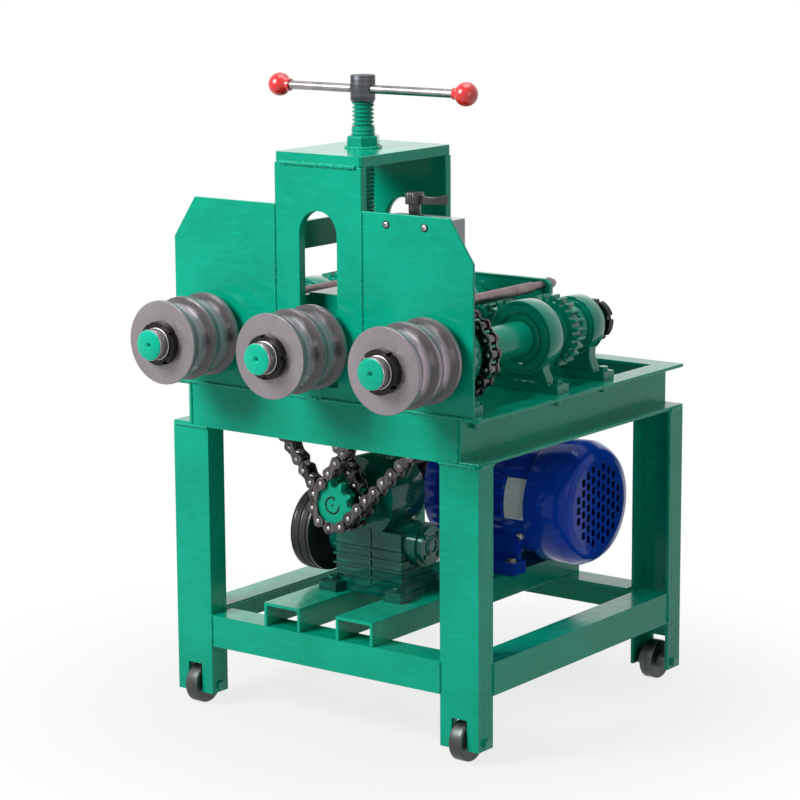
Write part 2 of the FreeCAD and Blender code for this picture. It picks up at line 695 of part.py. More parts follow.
BW = BR * 0.55                                # half width of the swivel bush
bush = doc.addObject("Part::Common", uid("bush"))
bush.Base = ball(BR, (0, SY, ZS))
bush.Tool = cyl(BR + 5, BW * 2, (0, SY - BW, ZS), "y")
node("swivel_bush", cut(bush, cyl(SR + RUN, BR * 2 + 10, (0, SY - BR - 5, ZS), "y")))

# ------------------------------------------------------------- timing gears
M, NG, NI, GWD = S("gear_module"), int(S("gear_teeth").v), int(S("idler_teeth").v), S("gear_width")
mesh = M * (S("gear_teeth") + S("idler_teeth")) / 2     # shaft gear to idler
pair = M * S("idler_teeth")                             # idler to idler
out_x = (PITCH - pair) / 2
arch = root(mesh * mesh - out_x * out_x)
ZI = ZS + arch
XA, XB = PITCH - out_x, out_x
IPR = S("idler_pin_radius")


def next_phase(phase, n1, n2, direction):
    u = (direction - phase) * n1 / 360.0
    return direction + 180.0 - (0.5 - u) * 360.0 / n2


up = math.degrees(math.atan2(arch.v, out_x.v))
ph_c = 90.0
ph_b = next_phase(ph_c, NG, NI, up)
ph_a = next_phase(ph_b, NI, NI, 0.0)
ph_s = next_phase(ph_a, NI, NG, -up)
hub_half = GWD.v / 2 + 4


def gear_at(name, x, z, teeth, phase, bore, hub_r):
    return node(name, feature(spur(teeth, phase, bore, hub_r, hub_half), (x, Yg, z)))


gear_at("gear_right", PITCH, ZS, NG, ph_s, SR.v, SR.v + 12)
gear_at("gear_left", -PITCH, ZS, NG, 180.0 - ph_s, SR.v, SR.v + 12)
for nm, x, ph in (("idler_right_outer", XA, ph_a), ("idler_right_inner", XB, ph_b),
                  ("idler_left_inner", -XB, 180.0 - ph_b), ("idler_left_outer", -XA, 180.0 - ph_a)):
    gear_at(nm, x, ZI, NI, ph, IPR.v + RUN.v, IPR.v + 9)

# centre gear: a socket for the crowned shaft end in front, a stub shaft behind
cg = Part.Face(teeth_outline(NG, M.v * NG / 2 - 1.18 * M.v, M.v * NG / 2 + 0.94 * M.v, 0.66, 0.25, ph_c))
cg = cg.extrude(V(0, 0, GWD.v))
cg.translate(V(0, 0, -GWD.v / 2))
cg.rotate(V(0, 0, 0), V(1, 0, 0), 90)
BY = S("bracket_y")
hub_f, hub_b = BSR.v + 4, BSR.v + 6
cyl_y = lambda r, a, b: Part.makeCylinder(r, b - a, V(0, a, 0), V(0, 1, 0))
tail_y = TAIL.v - Yg.v
cg = cg.fuse([cyl_y(BSR.v + 9, -hub_f, hub_b), cyl_y(SR.v, hub_b - 1, tail_y)])
cg = cg.cut(cyl_y(BSR.v + RUN.v, -hub_f - 1, BSR.v + 2)).removeSplitter()
node("gear_centre", feature(cg, (0, Yg, ZS)))

# idler pins stand on the rear bracket; two stay rods tie it to the front plates
UB = Y("press_depth")
PBY = Y("bracket_y")
BWALL = S("bracket_wall")
RX, RZ, RDR, STR = S("rod_x"), ZS + S("rod_rise"), S("rod_radius"), S("stud_radius")
pin_y = Yg - GWD / 2 - 8
rod_end = Y("pillow_y") - 8
pins = []
for side in (1, -1):
    for x in (XA, XB):
        pins.append(fuse(cyl(IPR, PBY - pin_y, (x * side, pin_y, ZI), "y"),
                         cyl(IPR + 5, 8, (x * side, PBY - 8, ZI), "y")))
    pins.append(fuse(cyl(RDR, rod_end - FRONT - PW, (RX * side, FRONT + PW, RZ), "y"),
                     cyl(STR, PBY + BWALL + 24 - rod_end, (RX * side, rod_end, RZ), "y"),
                     cyl(STR + 4, 12, (RX * side, PBY + BWALL, RZ), "y")))
node("idler_pins", group(*pins))
bx = RX + STR + 9
bh = RZ - BASE_TOP + STR + 4
bc = 9
plate = body([(0, 0), (bx * 2, 0), (bx * 2, bh - bc), (bx * 2 - bc, bh), (bc, bh), (0, bh - bc)],
             BWALL, (-bx, PBY + BWALL, BASE_TOP), frame_rot((1, 0, 0), (0, 0, 1)))
node("idler_bracket", cut(plate, cyl(SR + 3, BWALL + 4, (0, PBY - 2, ZS), "y"),
                          *[cyl(STR, BWALL + 4, (RX * side, PBY - 2, RZ), "y") for side in (1, -1)]))

# ---------------------------------------------------------- bearing housings
FH, FD = S("front_housing_radius"), S("front_housing_depth")


def front_housing(x):
    """Round housing behind the front plate, on a flat foot."""
    hub = cyl(FH, FD, (x, FRONT + PW, ZS), "y")
    web = box((FH * 1.2, FD * 0.6, ZS - BASE_TOP), (x - FH * 0.6, FRONT + PW, BASE_TOP))
    foot = box((FH * 2 + FH / 3, FD * 0.8, S("foot_height")), (x - FH - FH / 6, FRONT + PW, BASE_TOP))
    return cut(fuse(hub, web, foot), cyl(SR + RUN, FD + 4, (x, FRONT + PW - 2, ZS), "y"))


node("front_bearings", group(front_housing(-PITCH), front_housing(PITCH)))


def footed(x, r, depth, y0, spread, extra=0):
    """Round housing on a waisted web with a flat foot on the base."""
    hub = cyl(r, depth, (x, y0, ZS), "y")
    web = box((r * 1.2, depth * 0.6, ZS - BASE_TOP), (x - r * 0.6, y0 + depth * 0.2, BASE_TOP))
    foot = box((r * 2 + spread, depth + extra, S("foot_height")), (x - r - spread / 2, y0 - q(extra) / 2, BASE_TOP))
    return cut(fuse(hub, web, foot), cyl(SR + RUN, depth + 4, (x, y0 - 2, ZS), "y"))


RR2, RD = S("ring_radius"), S("ring_depth")
RY = UB + S("ring_gap")


def ring(x):
    step = cut(cyl(RR2 - 8, 4, (x, RY - 4, ZS), "y"), cyl(RR2 - 20, 8, (x, RY - 6, ZS), "y"))
    return fuse(footed(x, RR2, RD, RY, 24), step)


node("ring_bearings", group(ring(-PITCH), ring(PITCH)))
PR, PD = S("pillow_radius"), S("pillow_depth")
PY0 = Y("pillow_y") - PD / 2
node("pillow_blocks", group(footed(-PITCH, PR, PD, PY0, 40), footed(PITCH, PR, PD, PY0, 40),
                            footed(q(0), PR, PD, PY0, 40)))

# ------------------------------------------------------------- chain drive
CP = S("chain_pitch").v
ZB = ZI.v
N1, N2 = int(S("big_teeth").v), int(S("small_teeth").v)
R1, R2 = CP / 2 / math.sin(math.pi / N1), CP / 2 / math.sin(math.pi / N2)
CR = S("chain_roller_radius").v
BXX, OZ = S("box_shift"), BEAM_TOP + S("out_rise")
SPW = S("sprocket_width").v


def sprocket(n, r, gap_angle, bore, hub_r, hub_len):
    """Sprocket in the X-Z plane with a tooth gap at gap_angle."""
    wire = teeth_outline(n, r - CR - 0.4, r + 4.0, 0.52, 0.2, gap_angle + 180.0 / n)
    g = Part.Face(wire).extrude(V(0, 0, SPW))
    g.translate(V(0, 0, -SPW / 2))
    if hub_len > 0:
        g = g.fuse(Part.makeCylinder(hub_r, hub_len + SPW / 2, V(0, 0, -hub_len - SPW / 2)))
    g = g.cut(Part.makeCylinder(bore, 400, V(0, 0, -200)))
    g.rotate(V(0, 0, 0), V(1, 0, 0), 90)
    return g


def line_angle(x):
    """Angle of the line from the gearbox shaft to the roller shaft at x."""
    return math.degrees(math.atan2(ZS.v - OZ.v, x.v - BXX.v))


def chain_path(x):
    """Roller centres of the closed chain, in order."""
    a = line_angle(x)
    big = (x.v, ZS.v)
    small = (BXX.v, OZ.v)
    dist = math.hypot(big[0] - small[0], big[1] - small[1])
    lean = math.degrees(math.asin((R1 - R2) / dist))
    k1 = round((90 + lean) / (360.0 / N1))
    k2 = round((90 - lean) / (360.0 / N2))
    pts = []
    for k in range(-k1, k1 + 1):
        t = math.radians(a + k * 360.0 / N1)
        pts.append((big[0] + R1 * math.cos(t), big[1] + R1 * math.sin(t)))
    low = []
    for k in range(-k2, k2 + 1):
        t = math.radians(a + 180 + k * 360.0 / N2)
        low.append((small[0] + R2 * math.cos(t), small[1] + R2 * math.sin(t)))

    def span(p, r):
        n = round(math.hypot(r[0] - p[0], r[1] - p[1]) / CP)
        return [(p[0] + (r[0] - p[0]) * i / n, p[1] + (r[1] - p[1]) * i / n) for i in range(1, n)]

    return pts + span(pts[-1], low[0]) + low + span(low[-1], pts[0])


def link(p, r, y0, wall, rollers):
    """One chain link from p to r: two side plates, an inner link with its
    two rollers."""
    length = math.hypot(r[0] - p[0], r[1] - p[1])
    e, h2 = S("link_height").v / 2, S("link_height").v / 2
    outline = [(-e, 0), (-e * 0.45, -h2), (length + e * 0.45, -h2), (length + e, 0),
               (length + e * 0.45, h2), (-e * 0.45, h2)]
    face = Part.Face(Part.makePolygon([V(a, b, 0) for a, b in outline + outline[:1]]))
    one = face.extrude(V(0, 0, wall))
    two = one.copy()
    one.translate(V(0, 0, y0))
    two.translate(V(0, 0, -y0 - wall))
    out = [one, two]
    if rollers:
        hexes = []
        for c in (0, length):
            ring = [V(c + CR * math.cos(math.radians(60 * i)), CR * math.sin(math.radians(60 * i)), 0) for i in range(7)]
            hx = Part.Face(Part.makePolygon(ring)).extrude(V(0, 0, 2 * y0))
            hx.translate(V(0, 0, -y0))
            hexes.append(hx)
        out = [one.fuse([two] + hexes).removeSplitter()]
    ang = math.degrees(math.atan2(r[1] - p[1], r[0] - p[0]))
    for s in out:
        s.rotate(V(0, 0, 0), V(1, 0, 0), 90)
        s.rotate(V(0, 0, 0), V(0, 1, 0), -ang)
        s.translate(V(p[0], 0, p[1]))
    return out


def chain(x):
    pts = chain_path(x)
    inside, wall = S("chain_inside").v / 2, S("link_wall").v
    solids = []
    for i, p in enumerate(pts):
        r = pts[(i + 1) % len(pts)]
        inner = i % 2 == 0
        solids += link(p, r, inside if inner else inside + wall, wall, inner)
    return Part.makeCompound(solids)


YC1, YC2 = Ysp, Ysp + S("chain_step")
node("chain_right", feature(chain(PITCH), (0, YC1, 0)))
node("chain_left", feature(chain(-PITCH), (0, YC2, 0)))
node("sprocket_right", feature(sprocket(N1, R1, line_angle(PITCH), SR.v, SR.v + 14, S("sprocket_hub").v), (PITCH, YC1, ZS)))
node("sprocket_left", feature(sprocket(N1, R1, line_angle(-PITCH), SR.v, SR.v + 14, S("sprocket_hub").v), (-PITCH, YC2, ZS)))

# ------------------------------------------------------------------ gearbox
OR, WR = S("out_radius"), S("worm_radius")
CW, CD, CF = S("case_width"), S("case_depth"), S("case_foot")
WY, WZ = Y("worm_y"), BEAM_TOP + S("worm_rise")
CWR, WCR = S("case_wheel_radius"), S("worm_case_radius")
# both output sprockets stand on one shaft
step_y = S("chain_step").v
out = sprocket(N2, R2, line_angle(PITCH) + 180, 2, 0, 0)
out2 = sprocket(N2, R2, line_angle(-PITCH) + 180, 2, 0, 0)
out2.translate(V(0, step_y, 0))
core = Part.makeCylinder(OR.v, WY.v - YC1.v + 20 + SPW / 2, V(0, -SPW / 2, 0), V(0, 1, 0))
hub = Part.makeCylinder(OR.v + 8, step_y, V(0, 0, 0), V(0, 1, 0))
node("gearbox_output", feature(out.fuse([out2, core, hub]).removeSplitter(), (BXX, YC1, OZ)))

wheel_case = cyl(CWR, CD, (BXX, WY - CD / 2, OZ), "y")
CXX = BXX + S("case_shift")
worm_case = cyl(WCR, CW, (CXX - CW / 2, WY, WZ), "x")
pedestal = box((CW * 0.76, CD, WZ + 24 - BEAM_TOP), (CXX - CW * 0.38, WY - CD / 2, BEAM_TOP))
foot_in, foot_out = CW * 0.38, CD / 2 + 10.5
pads = [box((CW * 0.2, CD * 0.36, CF), (CXX + foot_in * sx - CW * 0.1, WY + foot_out * sy - CD * 0.18, BEAM_TOP))
        for sx in (-1, 1) for sy in (-1, 1)]
foot = box((CW * 0.8, CD + 6, CF * 0.5), (CXX - CW * 0.4, WY - CD / 2 - 3, BEAM_TOP))
cap_r = cyl(WCR - 6, 10, (CXX + CW / 2, WY, WZ), "x")
cap_o = cyl(CWR - 30, 8, (BXX, WY + CD / 2, OZ), "y")
cap_f = cyl(CWR - 30, 8, (BXX, WY - CD / 2 - 8, OZ), "y")
plug = cyl(11, 22, (BXX + 28, WY, OZ + CWR - 8))
ribs = [box((CW * 0.76 + 8, CD + 8, 4), (CXX - CW * 0.38 - 4, WY - CD / 2 - 4, BEAM_TOP + CF + 12 + 17 * k)) for k in range(4)]
node("gearbox_case", cut(fuse(wheel_case, worm_case, pedestal, foot, cap_r, cap_o, cap_f, plug, *pads, *ribs),
                         cyl(OR + RUN, WY - YC1 + 22, (BXX, YC1, OZ), "y"),
                         cyl(WR + RUN, CW / 2 + 10 - S("case_shift"), (CXX - CW / 2 - 10, WY, WZ), "x")))

# ------------------------------------------------------- belt drive and motor
PX, PWD = S("pulley_plane"), S("pulley_width")
BPR, SPR = S("big_pulley_radius"), S("small_pulley_radius")
BP, BWID, BHT = S("belt_pitch") / 2, S("belt_width"), S("belt_height")
MY, MZ = Y("motor_y"), BEAM_TOP + S("motor_axis_height")
MSR = S("motor_shaft_radius")


def pulley_profile(r, bore):
    """Half section of a two-groove pulley, (radius, distance along axis)."""
    floor = r - BHT + 1 - GAP
    w = BWID / 2 + GAP
    c = PWD / 2
    return [(bore, 0), (r, 0), (r, c - BP - w), (floor, c - BP - w), (floor, c - BP + w), (r, c - BP + w),
            (r, c + BP - w), (floor, c + BP - w), (floor, c + BP + w), (r, c + BP + w), (r, PWD), (bore, PWD)]


big = turned(pulley_profile(BPR, WR - 2), (PX - PWD / 2, WY, WZ), ROT["x"])
lighten = cut(cyl(BPR - 16, 10, (PX - PWD / 2 - 1, WY, WZ), "x"), cyl(WR + 12, 14, (PX - PWD / 2 - 2, WY, WZ), "x"))
worm = cyl(WR, BXX - PX + PWD / 2, (PX - PWD / 2 - 4, WY, WZ), "x")
node("worm_pulley", fuse(cut(big, lighten), worm))
small = turned(pulley_profile(SPR, MSR - 2), (PX - PWD / 2, MY, MZ), ROT["x"])
MX0, ML = S("motor_start"), S("motor_length")
CL = S("cover_length")
rotor = cyl(MSR, MX0 - PX + PWD / 2 + 44, (PX - PWD / 2 - 4, MY, MZ), "x")
node("motor_shaft", fuse(small, rotor))


def loop_face(y1, z1, r1, y2, z2, r2):
    """Face bounded by the open-belt loop round two circles."""
    d = math.hypot(y2 - y1, z2 - z1)
    base = math.atan2(z2 - z1, y2 - y1)
    t = math.acos((r1 - r2) / d)
    at = lambda cy, cz, r, a: V(cy + r * math.cos(a), cz + r * math.sin(a), 0)
    a1, a2 = base + t, base - t
    e = [Part.LineSegment(at(y1, z1, r1, a1), at(y2, z2, r2, a1)).toShape(),
         Part.Arc(at(y2, z2, r2, a1), at(y2, z2, r2, base), at(y2, z2, r2, a2)).toShape(),
         Part.LineSegment(at(y2, z2, r2, a2), at(y1, z1, r1, a2)).toShape(),
         Part.Arc(at(y1, z1, r1, a2), at(y1, z1, r1, base + math.pi), at(y1, z1, r1, a1)).toShape()]
    return Part.Face(Part.Wire(e))


def belt(x_mid):
    w = BWID.v
    lay = lambda off: loop_face(WY.v, WZ.v, BPR.v + off, MY.v, MZ.v, SPR.v + off)
    b = lay(1.0).extrude(V(0, 0, w)).cut(lay(1.0 - BHT.v).extrude(V(0, 0, w)))
    b.transformShape(FreeCAD.Matrix(0, 0, 1, x_mid - w / 2, 1, 0, 0, 0, 0, 1, 0, 0, 0, 0, 0, 1))
    return b


node("v_belts", feature(Part.makeCompound([belt(PX.v - BP.v), belt(PX.v + BP.v)])))

MR = S("motor_radius")
shield = MR.v * 0.25                          # front end shield
band = MR.v * 0.6                             # plain band beside the fan cover
mb = Part.Face(teeth_outline(30, MR.v - 7, MR.v, 0.42, 0.28, 6.0)).extrude(V(0, 0, ML.v - shield - band + 2))
mb.translate(V(0, 0, shield - 1))
mb = mb.fuse([Part.makeCylinder(MR.v - 3, shield, V(0, 0, 0)), Part.makeCylinder(MR.v - 3, band, V(0, 0, ML.v - band)),
              Part.makeCylinder(MR.v * 0.55, 12, V(0, 0, -12))])
mb = mb.cut(Part.makeCylinder(MSR.v + RUN.v, 56, V(0, 0, -12)))
mb = mb.cut(Part.makeCylinder(MSR.v - 2 + RUN.v, 30, V(0, 0, ML.v - 24)))
mb.rotate(V(0, 0, 0), V(0, 1, 0), 90)
motor_shell = feature(mb, (MX0, MY, MZ))
MAH = S("motor_axis_height")
foot_x = MS + MB                              # over the right cross channel
MFT = S("motor_foot")
feet = [box((116, 40, MFT), (foot_x - 58, MY + k * MR * 0.82 - 20, BEAM_TOP)) for k in (-1, 1)]
legs = [box((100, 12, MAH - MR * 0.45), (foot_x - 50, MY + k * MR * 0.72 - 6, BEAM_TOP)) for k in (-1, 1)]
terminal = box((80, 40, 70), (foot_x - 40, MY + MR - 14, MZ - 10))
eye_x = MX0 + ML - S("motor_radius") / 2
eye = cut(cyl(14, 8, (eye_x - 4, MY, MZ + MR + 6), "x"), cyl(7, 12, (eye_x - 6, MY, MZ + MR + 6), "x"))
node("motor_body", fuse(motor_shell, *feet, *legs, terminal, eye))

FR, FW = S("cover_radius"), S("cover_wall")
XC0 = MX0 + ML
FF, SH = S("cover_face"), (S("cover_radius") - S("cover_face")) / 4
cover = turned([(0, CL - FW), (FF, CL - FW), (FR - SH * 2 - FW, CL - SH / 2 - FW), (FR - SH - FW, CL - SH * 2),
                (FR - FW, CL - SH * 4), (FR - FW, FW * 4), (MR - 2.7, FW * 4), (MR - 2.7, 0), (FR, 0),
                (FR, CL - SH * 4), (FR - SH, CL - SH * 2 + FW), (FR - SH * 2, CL - SH / 2), (FF, CL), (0, CL)],
               (XC0 - FW * 4, MY, MZ), ROT["x"])
hole_y, hole_z = FF.v / 5.2, FF.v / 4.4        # pitch of the grille holes
holes = []
for i in range(-5, 6):
    for k in range(-5, 6):
        hy, hz = i * hole_y, (k + 0.5 * (i % 2)) * hole_z
        if math.hypot(hy, hz) < FF.v - hole_y * 0.8:
            holes.append(Part.makeBox(FW.v * 3, hole_y * 0.62, hole_z * 0.68, V(-FW.v * 2, hy - hole_y * 0.31, hz - hole_z * 0.34)))
node("fan_cover", cut(cover, feature(Part.makeCompound(holes), (XC0 - FW * 4 + CL, MY, MZ))))
blade, hub_r, web_t = CL.v * 0.34, MR.v * 0.24, FW.v * 1.5
fan_parts = [Part.makeCylinder(hub_r, blade, V(0, 0, 0)), Part.makeCylinder(MR.v * 0.8, web_t, V(0, 0, 0))]
for i in range(6):
    bl = Part.makeBox(MR.v * 0.82 - hub_r, web_t, blade, V(hub_r - web_t, -web_t / 2, 0))
    bl.rotate(V(0, 0, 0), V(0, 0, 1), 60.0 * i)
    fan_parts.append(bl)
fan = fan_parts[0].fuse(fan_parts[1:] + [Part.makeCylinder(MSR.v - 2, blade, V(0, 0, 1 - blade))]).removeSplitter()
fan.rotate(V(0, 0, 0), V(0, 1, 0), 90)
node("motor_fan", feature(fan, (XC0 + FW * 7, MY, MZ)))

# ------------------------------------------------------------------- switch
SX, SWW, SWD, SWH = S("switch_right"), S("switch_width"), S("switch_depth"), S("switch_height")
STOP = PT + S("switch_rise")
node("switch_box", box((SWW, SWD, SWH), (SX - SWW, FRONT + PW, STOP - SWH)))
LH, LL = S("lever_hub"), S("lever_length")
LX, LY, LR = SX - SWW * 0.63, FRONT + PW + SWD / 2, S("lever_rise")
lever = fuse(cyl(LH * 0.66, LR / 2 + 1 - GAP, (LX, LY, STOP + GAP)), cyl(LH, LR / 2, (LX, LY, STOP + LR / 2)),
             box((LL, 6, LR * 0.42), (LX, LY - 3, STOP + LR * 0.54)))
node("switch_lever", lever)

# ---------------------------------------------------------------- fasteners
BRD, BHH = S("bolt_radius"), S("bolt_height")


def bolt(x, y0, z0):
    return prism(BRD, 6, BHH, (x, y0, z0))


FT = BASE_TOP + S("foot_height")
bolts = []
for s in (-1, 1):
    for k in (-1, 1):
        bolts.append(bolt(PITCH * s + (RR2 + 0) * k, RY + RD / 2, FT))
        bolts.append(bolt(PITCH * s + (PR + 8) * k, PY0 + PD / 2, FT))
        bolts.append(bolt(CXX + foot_in * s, WY + foot_out * k, BEAM_TOP + CF))
        bolts.append(bolt(foot_x + q(46) * s, MY + (MR * 0.82 + 9) * k, BEAM_TOP + MFT))
for s in (-1, 1):
    for k in (-1, 1):
        bolts.append(bolt(PITCH * s + (FH + 1) * k, FRONT + PW + FD * 0.6, FT))
for k in (-1, 1):
    bolts.append(bolt((PR + 8) * k, PY0 + PD / 2, FT))
    bolts.append(cyl(5, 3, (SX - SWW * 0.614 + SWW * 0.29 * k, FRONT - 3, STOP - 14), "y"))
node("fasteners", group(*bolts))

# ----------------------------------------------------------- check and export
doc.recompute()
for o in doc.Objects:
    bad = [s for s in o.State if s in ("Invalid", "Error")]
    if bad:
        raise SystemExit("failed object %s (%s): %s" % (o.Name, o.Label, bad))
for name, o in NODES:
    if o.Shape.isNull() or not o.Shape.isValid():
        raise SystemExit("bad shape: " + name)
for name, o in NODES:
    o.Shape.exportStep("parts/" + name + ".step")
box_all = None
for name, o in NODES:
    bb = o.Shape.BoundBox
    box_all = FreeCAD.BoundBox(bb) if box_all is None else box_all.united(bb)
print("nodes", len(NODES), "box", [round(v, 2) for v in (box_all.XMin, box_all.XMax, box_all.YMin, box_all.YMax,
                                                        box_all.ZMin, box_all.ZMax)])
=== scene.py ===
import math
import random

import bmesh
import bpy
from mathutils import Matrix, Vector

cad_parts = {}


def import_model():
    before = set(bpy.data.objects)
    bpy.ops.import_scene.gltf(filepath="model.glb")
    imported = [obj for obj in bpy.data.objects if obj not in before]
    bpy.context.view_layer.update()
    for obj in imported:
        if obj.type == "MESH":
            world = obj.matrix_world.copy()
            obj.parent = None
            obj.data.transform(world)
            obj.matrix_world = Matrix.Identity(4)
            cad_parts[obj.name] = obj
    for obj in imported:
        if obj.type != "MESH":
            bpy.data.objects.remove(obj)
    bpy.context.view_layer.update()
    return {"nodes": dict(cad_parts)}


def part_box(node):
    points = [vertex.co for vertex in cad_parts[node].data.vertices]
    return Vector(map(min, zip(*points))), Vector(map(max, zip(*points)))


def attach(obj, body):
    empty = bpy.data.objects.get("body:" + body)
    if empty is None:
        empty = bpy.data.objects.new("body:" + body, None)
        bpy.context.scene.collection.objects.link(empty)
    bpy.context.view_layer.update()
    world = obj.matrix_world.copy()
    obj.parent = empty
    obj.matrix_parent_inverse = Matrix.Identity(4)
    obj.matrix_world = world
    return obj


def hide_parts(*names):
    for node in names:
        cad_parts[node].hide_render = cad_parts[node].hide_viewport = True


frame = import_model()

nodes = frame["nodes"]
scene = bpy.context.scene
SIDES = ((-1, "left"), (1, "right"))

# ---- sizes (m)
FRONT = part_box("upright_front")[0].y               # front plane of the stand
STAND_X, STAND_Y = 0.333, 0.650                    # half width and depth of the stand
WEB = 0.080                                        # channel steel over its web
BASE, LEG_TOP, BEAM_TOP = 0.595, 0.515, 0.215      # tops of the base, legs and cross channels
RAIL_LOW, RAIL_TOP = 0.116, 0.170                  # welded edge of the bottom rails

ZS, PITCH = 0.688, 0.238                           # height and spacing of the roller shafts
NOSE_R, SEAT_R, FULL_R = 0.027, 0.028, 0.029       # shaft at the nose, the roller and behind it
NUT_R, NUT_W = 0.038, 0.014                        # slotted ring nuts
BALL_R = 0.034                                     # crowned rear end of the centre shaft
BODIES = (("left", "left_shaft", -PITCH), ("right", "right_shaft", PITCH), ("centre", "centre_shaft", 0.0))

ROLL_Y, ROLL_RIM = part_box("roller_left")[0].y, 0.007
ROLL_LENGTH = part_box("roller_left")[1].y - ROLL_Y
ROLL_MID = (ROLL_LENGTH - 3 * ROLL_RIM) / 4 + ROLL_RIM        # face to the middle of a groove
GROOVE_R, GROOVE_DEPTH = 0.0285, 0.013

OUT_X, OUT_Z = -0.033, 0.389                       # gearbox output shaft
CHAIN_PITCH, BIG_TEETH, SMALL_TEETH = 0.0254, 16, 10
BIG_R, SMALL_R = (CHAIN_PITCH / 2 / math.sin(math.pi / n) for n in (BIG_TEETH, SMALL_TEETH))
CHAIN_HALF, LINK_WALL = 0.0079, 0.003              # half inside width and plate of the chain
SPROCKET_HALF = 0.00725

BOX_X, BOX_FOOT = OUT_X + 0.019, 0.018             # gearbox
BOX_BOLT_X, BOX_BOLT_Y = 0.0722, 0.0585
WORM_Y = FRONT + 0.201
MOTOR_Y, MOTOR_R = FRONT + 0.510, 0.107            # motor
MOTOR_FOOT_X, MOTOR_FOOT = 0.070, 0.024
MOTOR_BOLT_X, MOTOR_BOLT_Y = 0.046, 0.09674
PLATE_X, PLATE_ARC, PLATE_WALL = (0.1040, 0.1480), (-13.0, 29.0), 0.0011
EYE_X = 0.1065
SWITCH_X, SWITCH_SCREWS, SWITCH_SCREW_Z = 0.18232, (0.14506, 0.22394), 0.906

HEAD_R, HEAD_H, WASHER_R, WASHER_H = 0.0092, 0.0062, 0.0122, 0.0018      # foot bolts
CAP_R, CAP_H = 0.0052, 0.0036                      # bolts of the gearbox covers

# fit of the camera to the photo
CAMERA_AT = (2.9209, FRONT - 3.68171, 1.50092)
CAMERA_TURN, CAMERA_DIP, CAMERA_ROLL = 36.745, 10.947, -0.311            # degrees
CAMERA_FOCUS = 2793.5 / 800                        # focal length in picture widths


# ---- camera
def camera():
    """The photo's camera: lens and place from the fit."""
    cam = bpy.data.cameras.new("camera")
    ob = bpy.data.objects.new("camera", cam)
    scene.collection.objects.link(ob)
    turn, dip, roll = (math.radians(a) for a in (CAMERA_TURN, CAMERA_DIP, CAMERA_ROLL))
    ahead = Vector((-math.sin(turn) * math.cos(dip), math.cos(turn) * math.cos(dip), -math.sin(dip)))
    level = Vector((math.cos(turn), math.sin(turn), 0))
    above = level.cross(ahead)
    right = level * math.cos(roll) + above * math.sin(roll)
    up = above * math.cos(roll) - level * math.sin(roll)
    place = Matrix((right, up, -ahead)).transposed().to_4x4()
    place.translation = Vector(CAMERA_AT)
    ob.matrix_world = place
    cam.sensor_width = 36.0
    cam.lens = CAMERA_FOCUS * 36.0
    cam.clip_end = 100
    scene.camera = ob


camera()


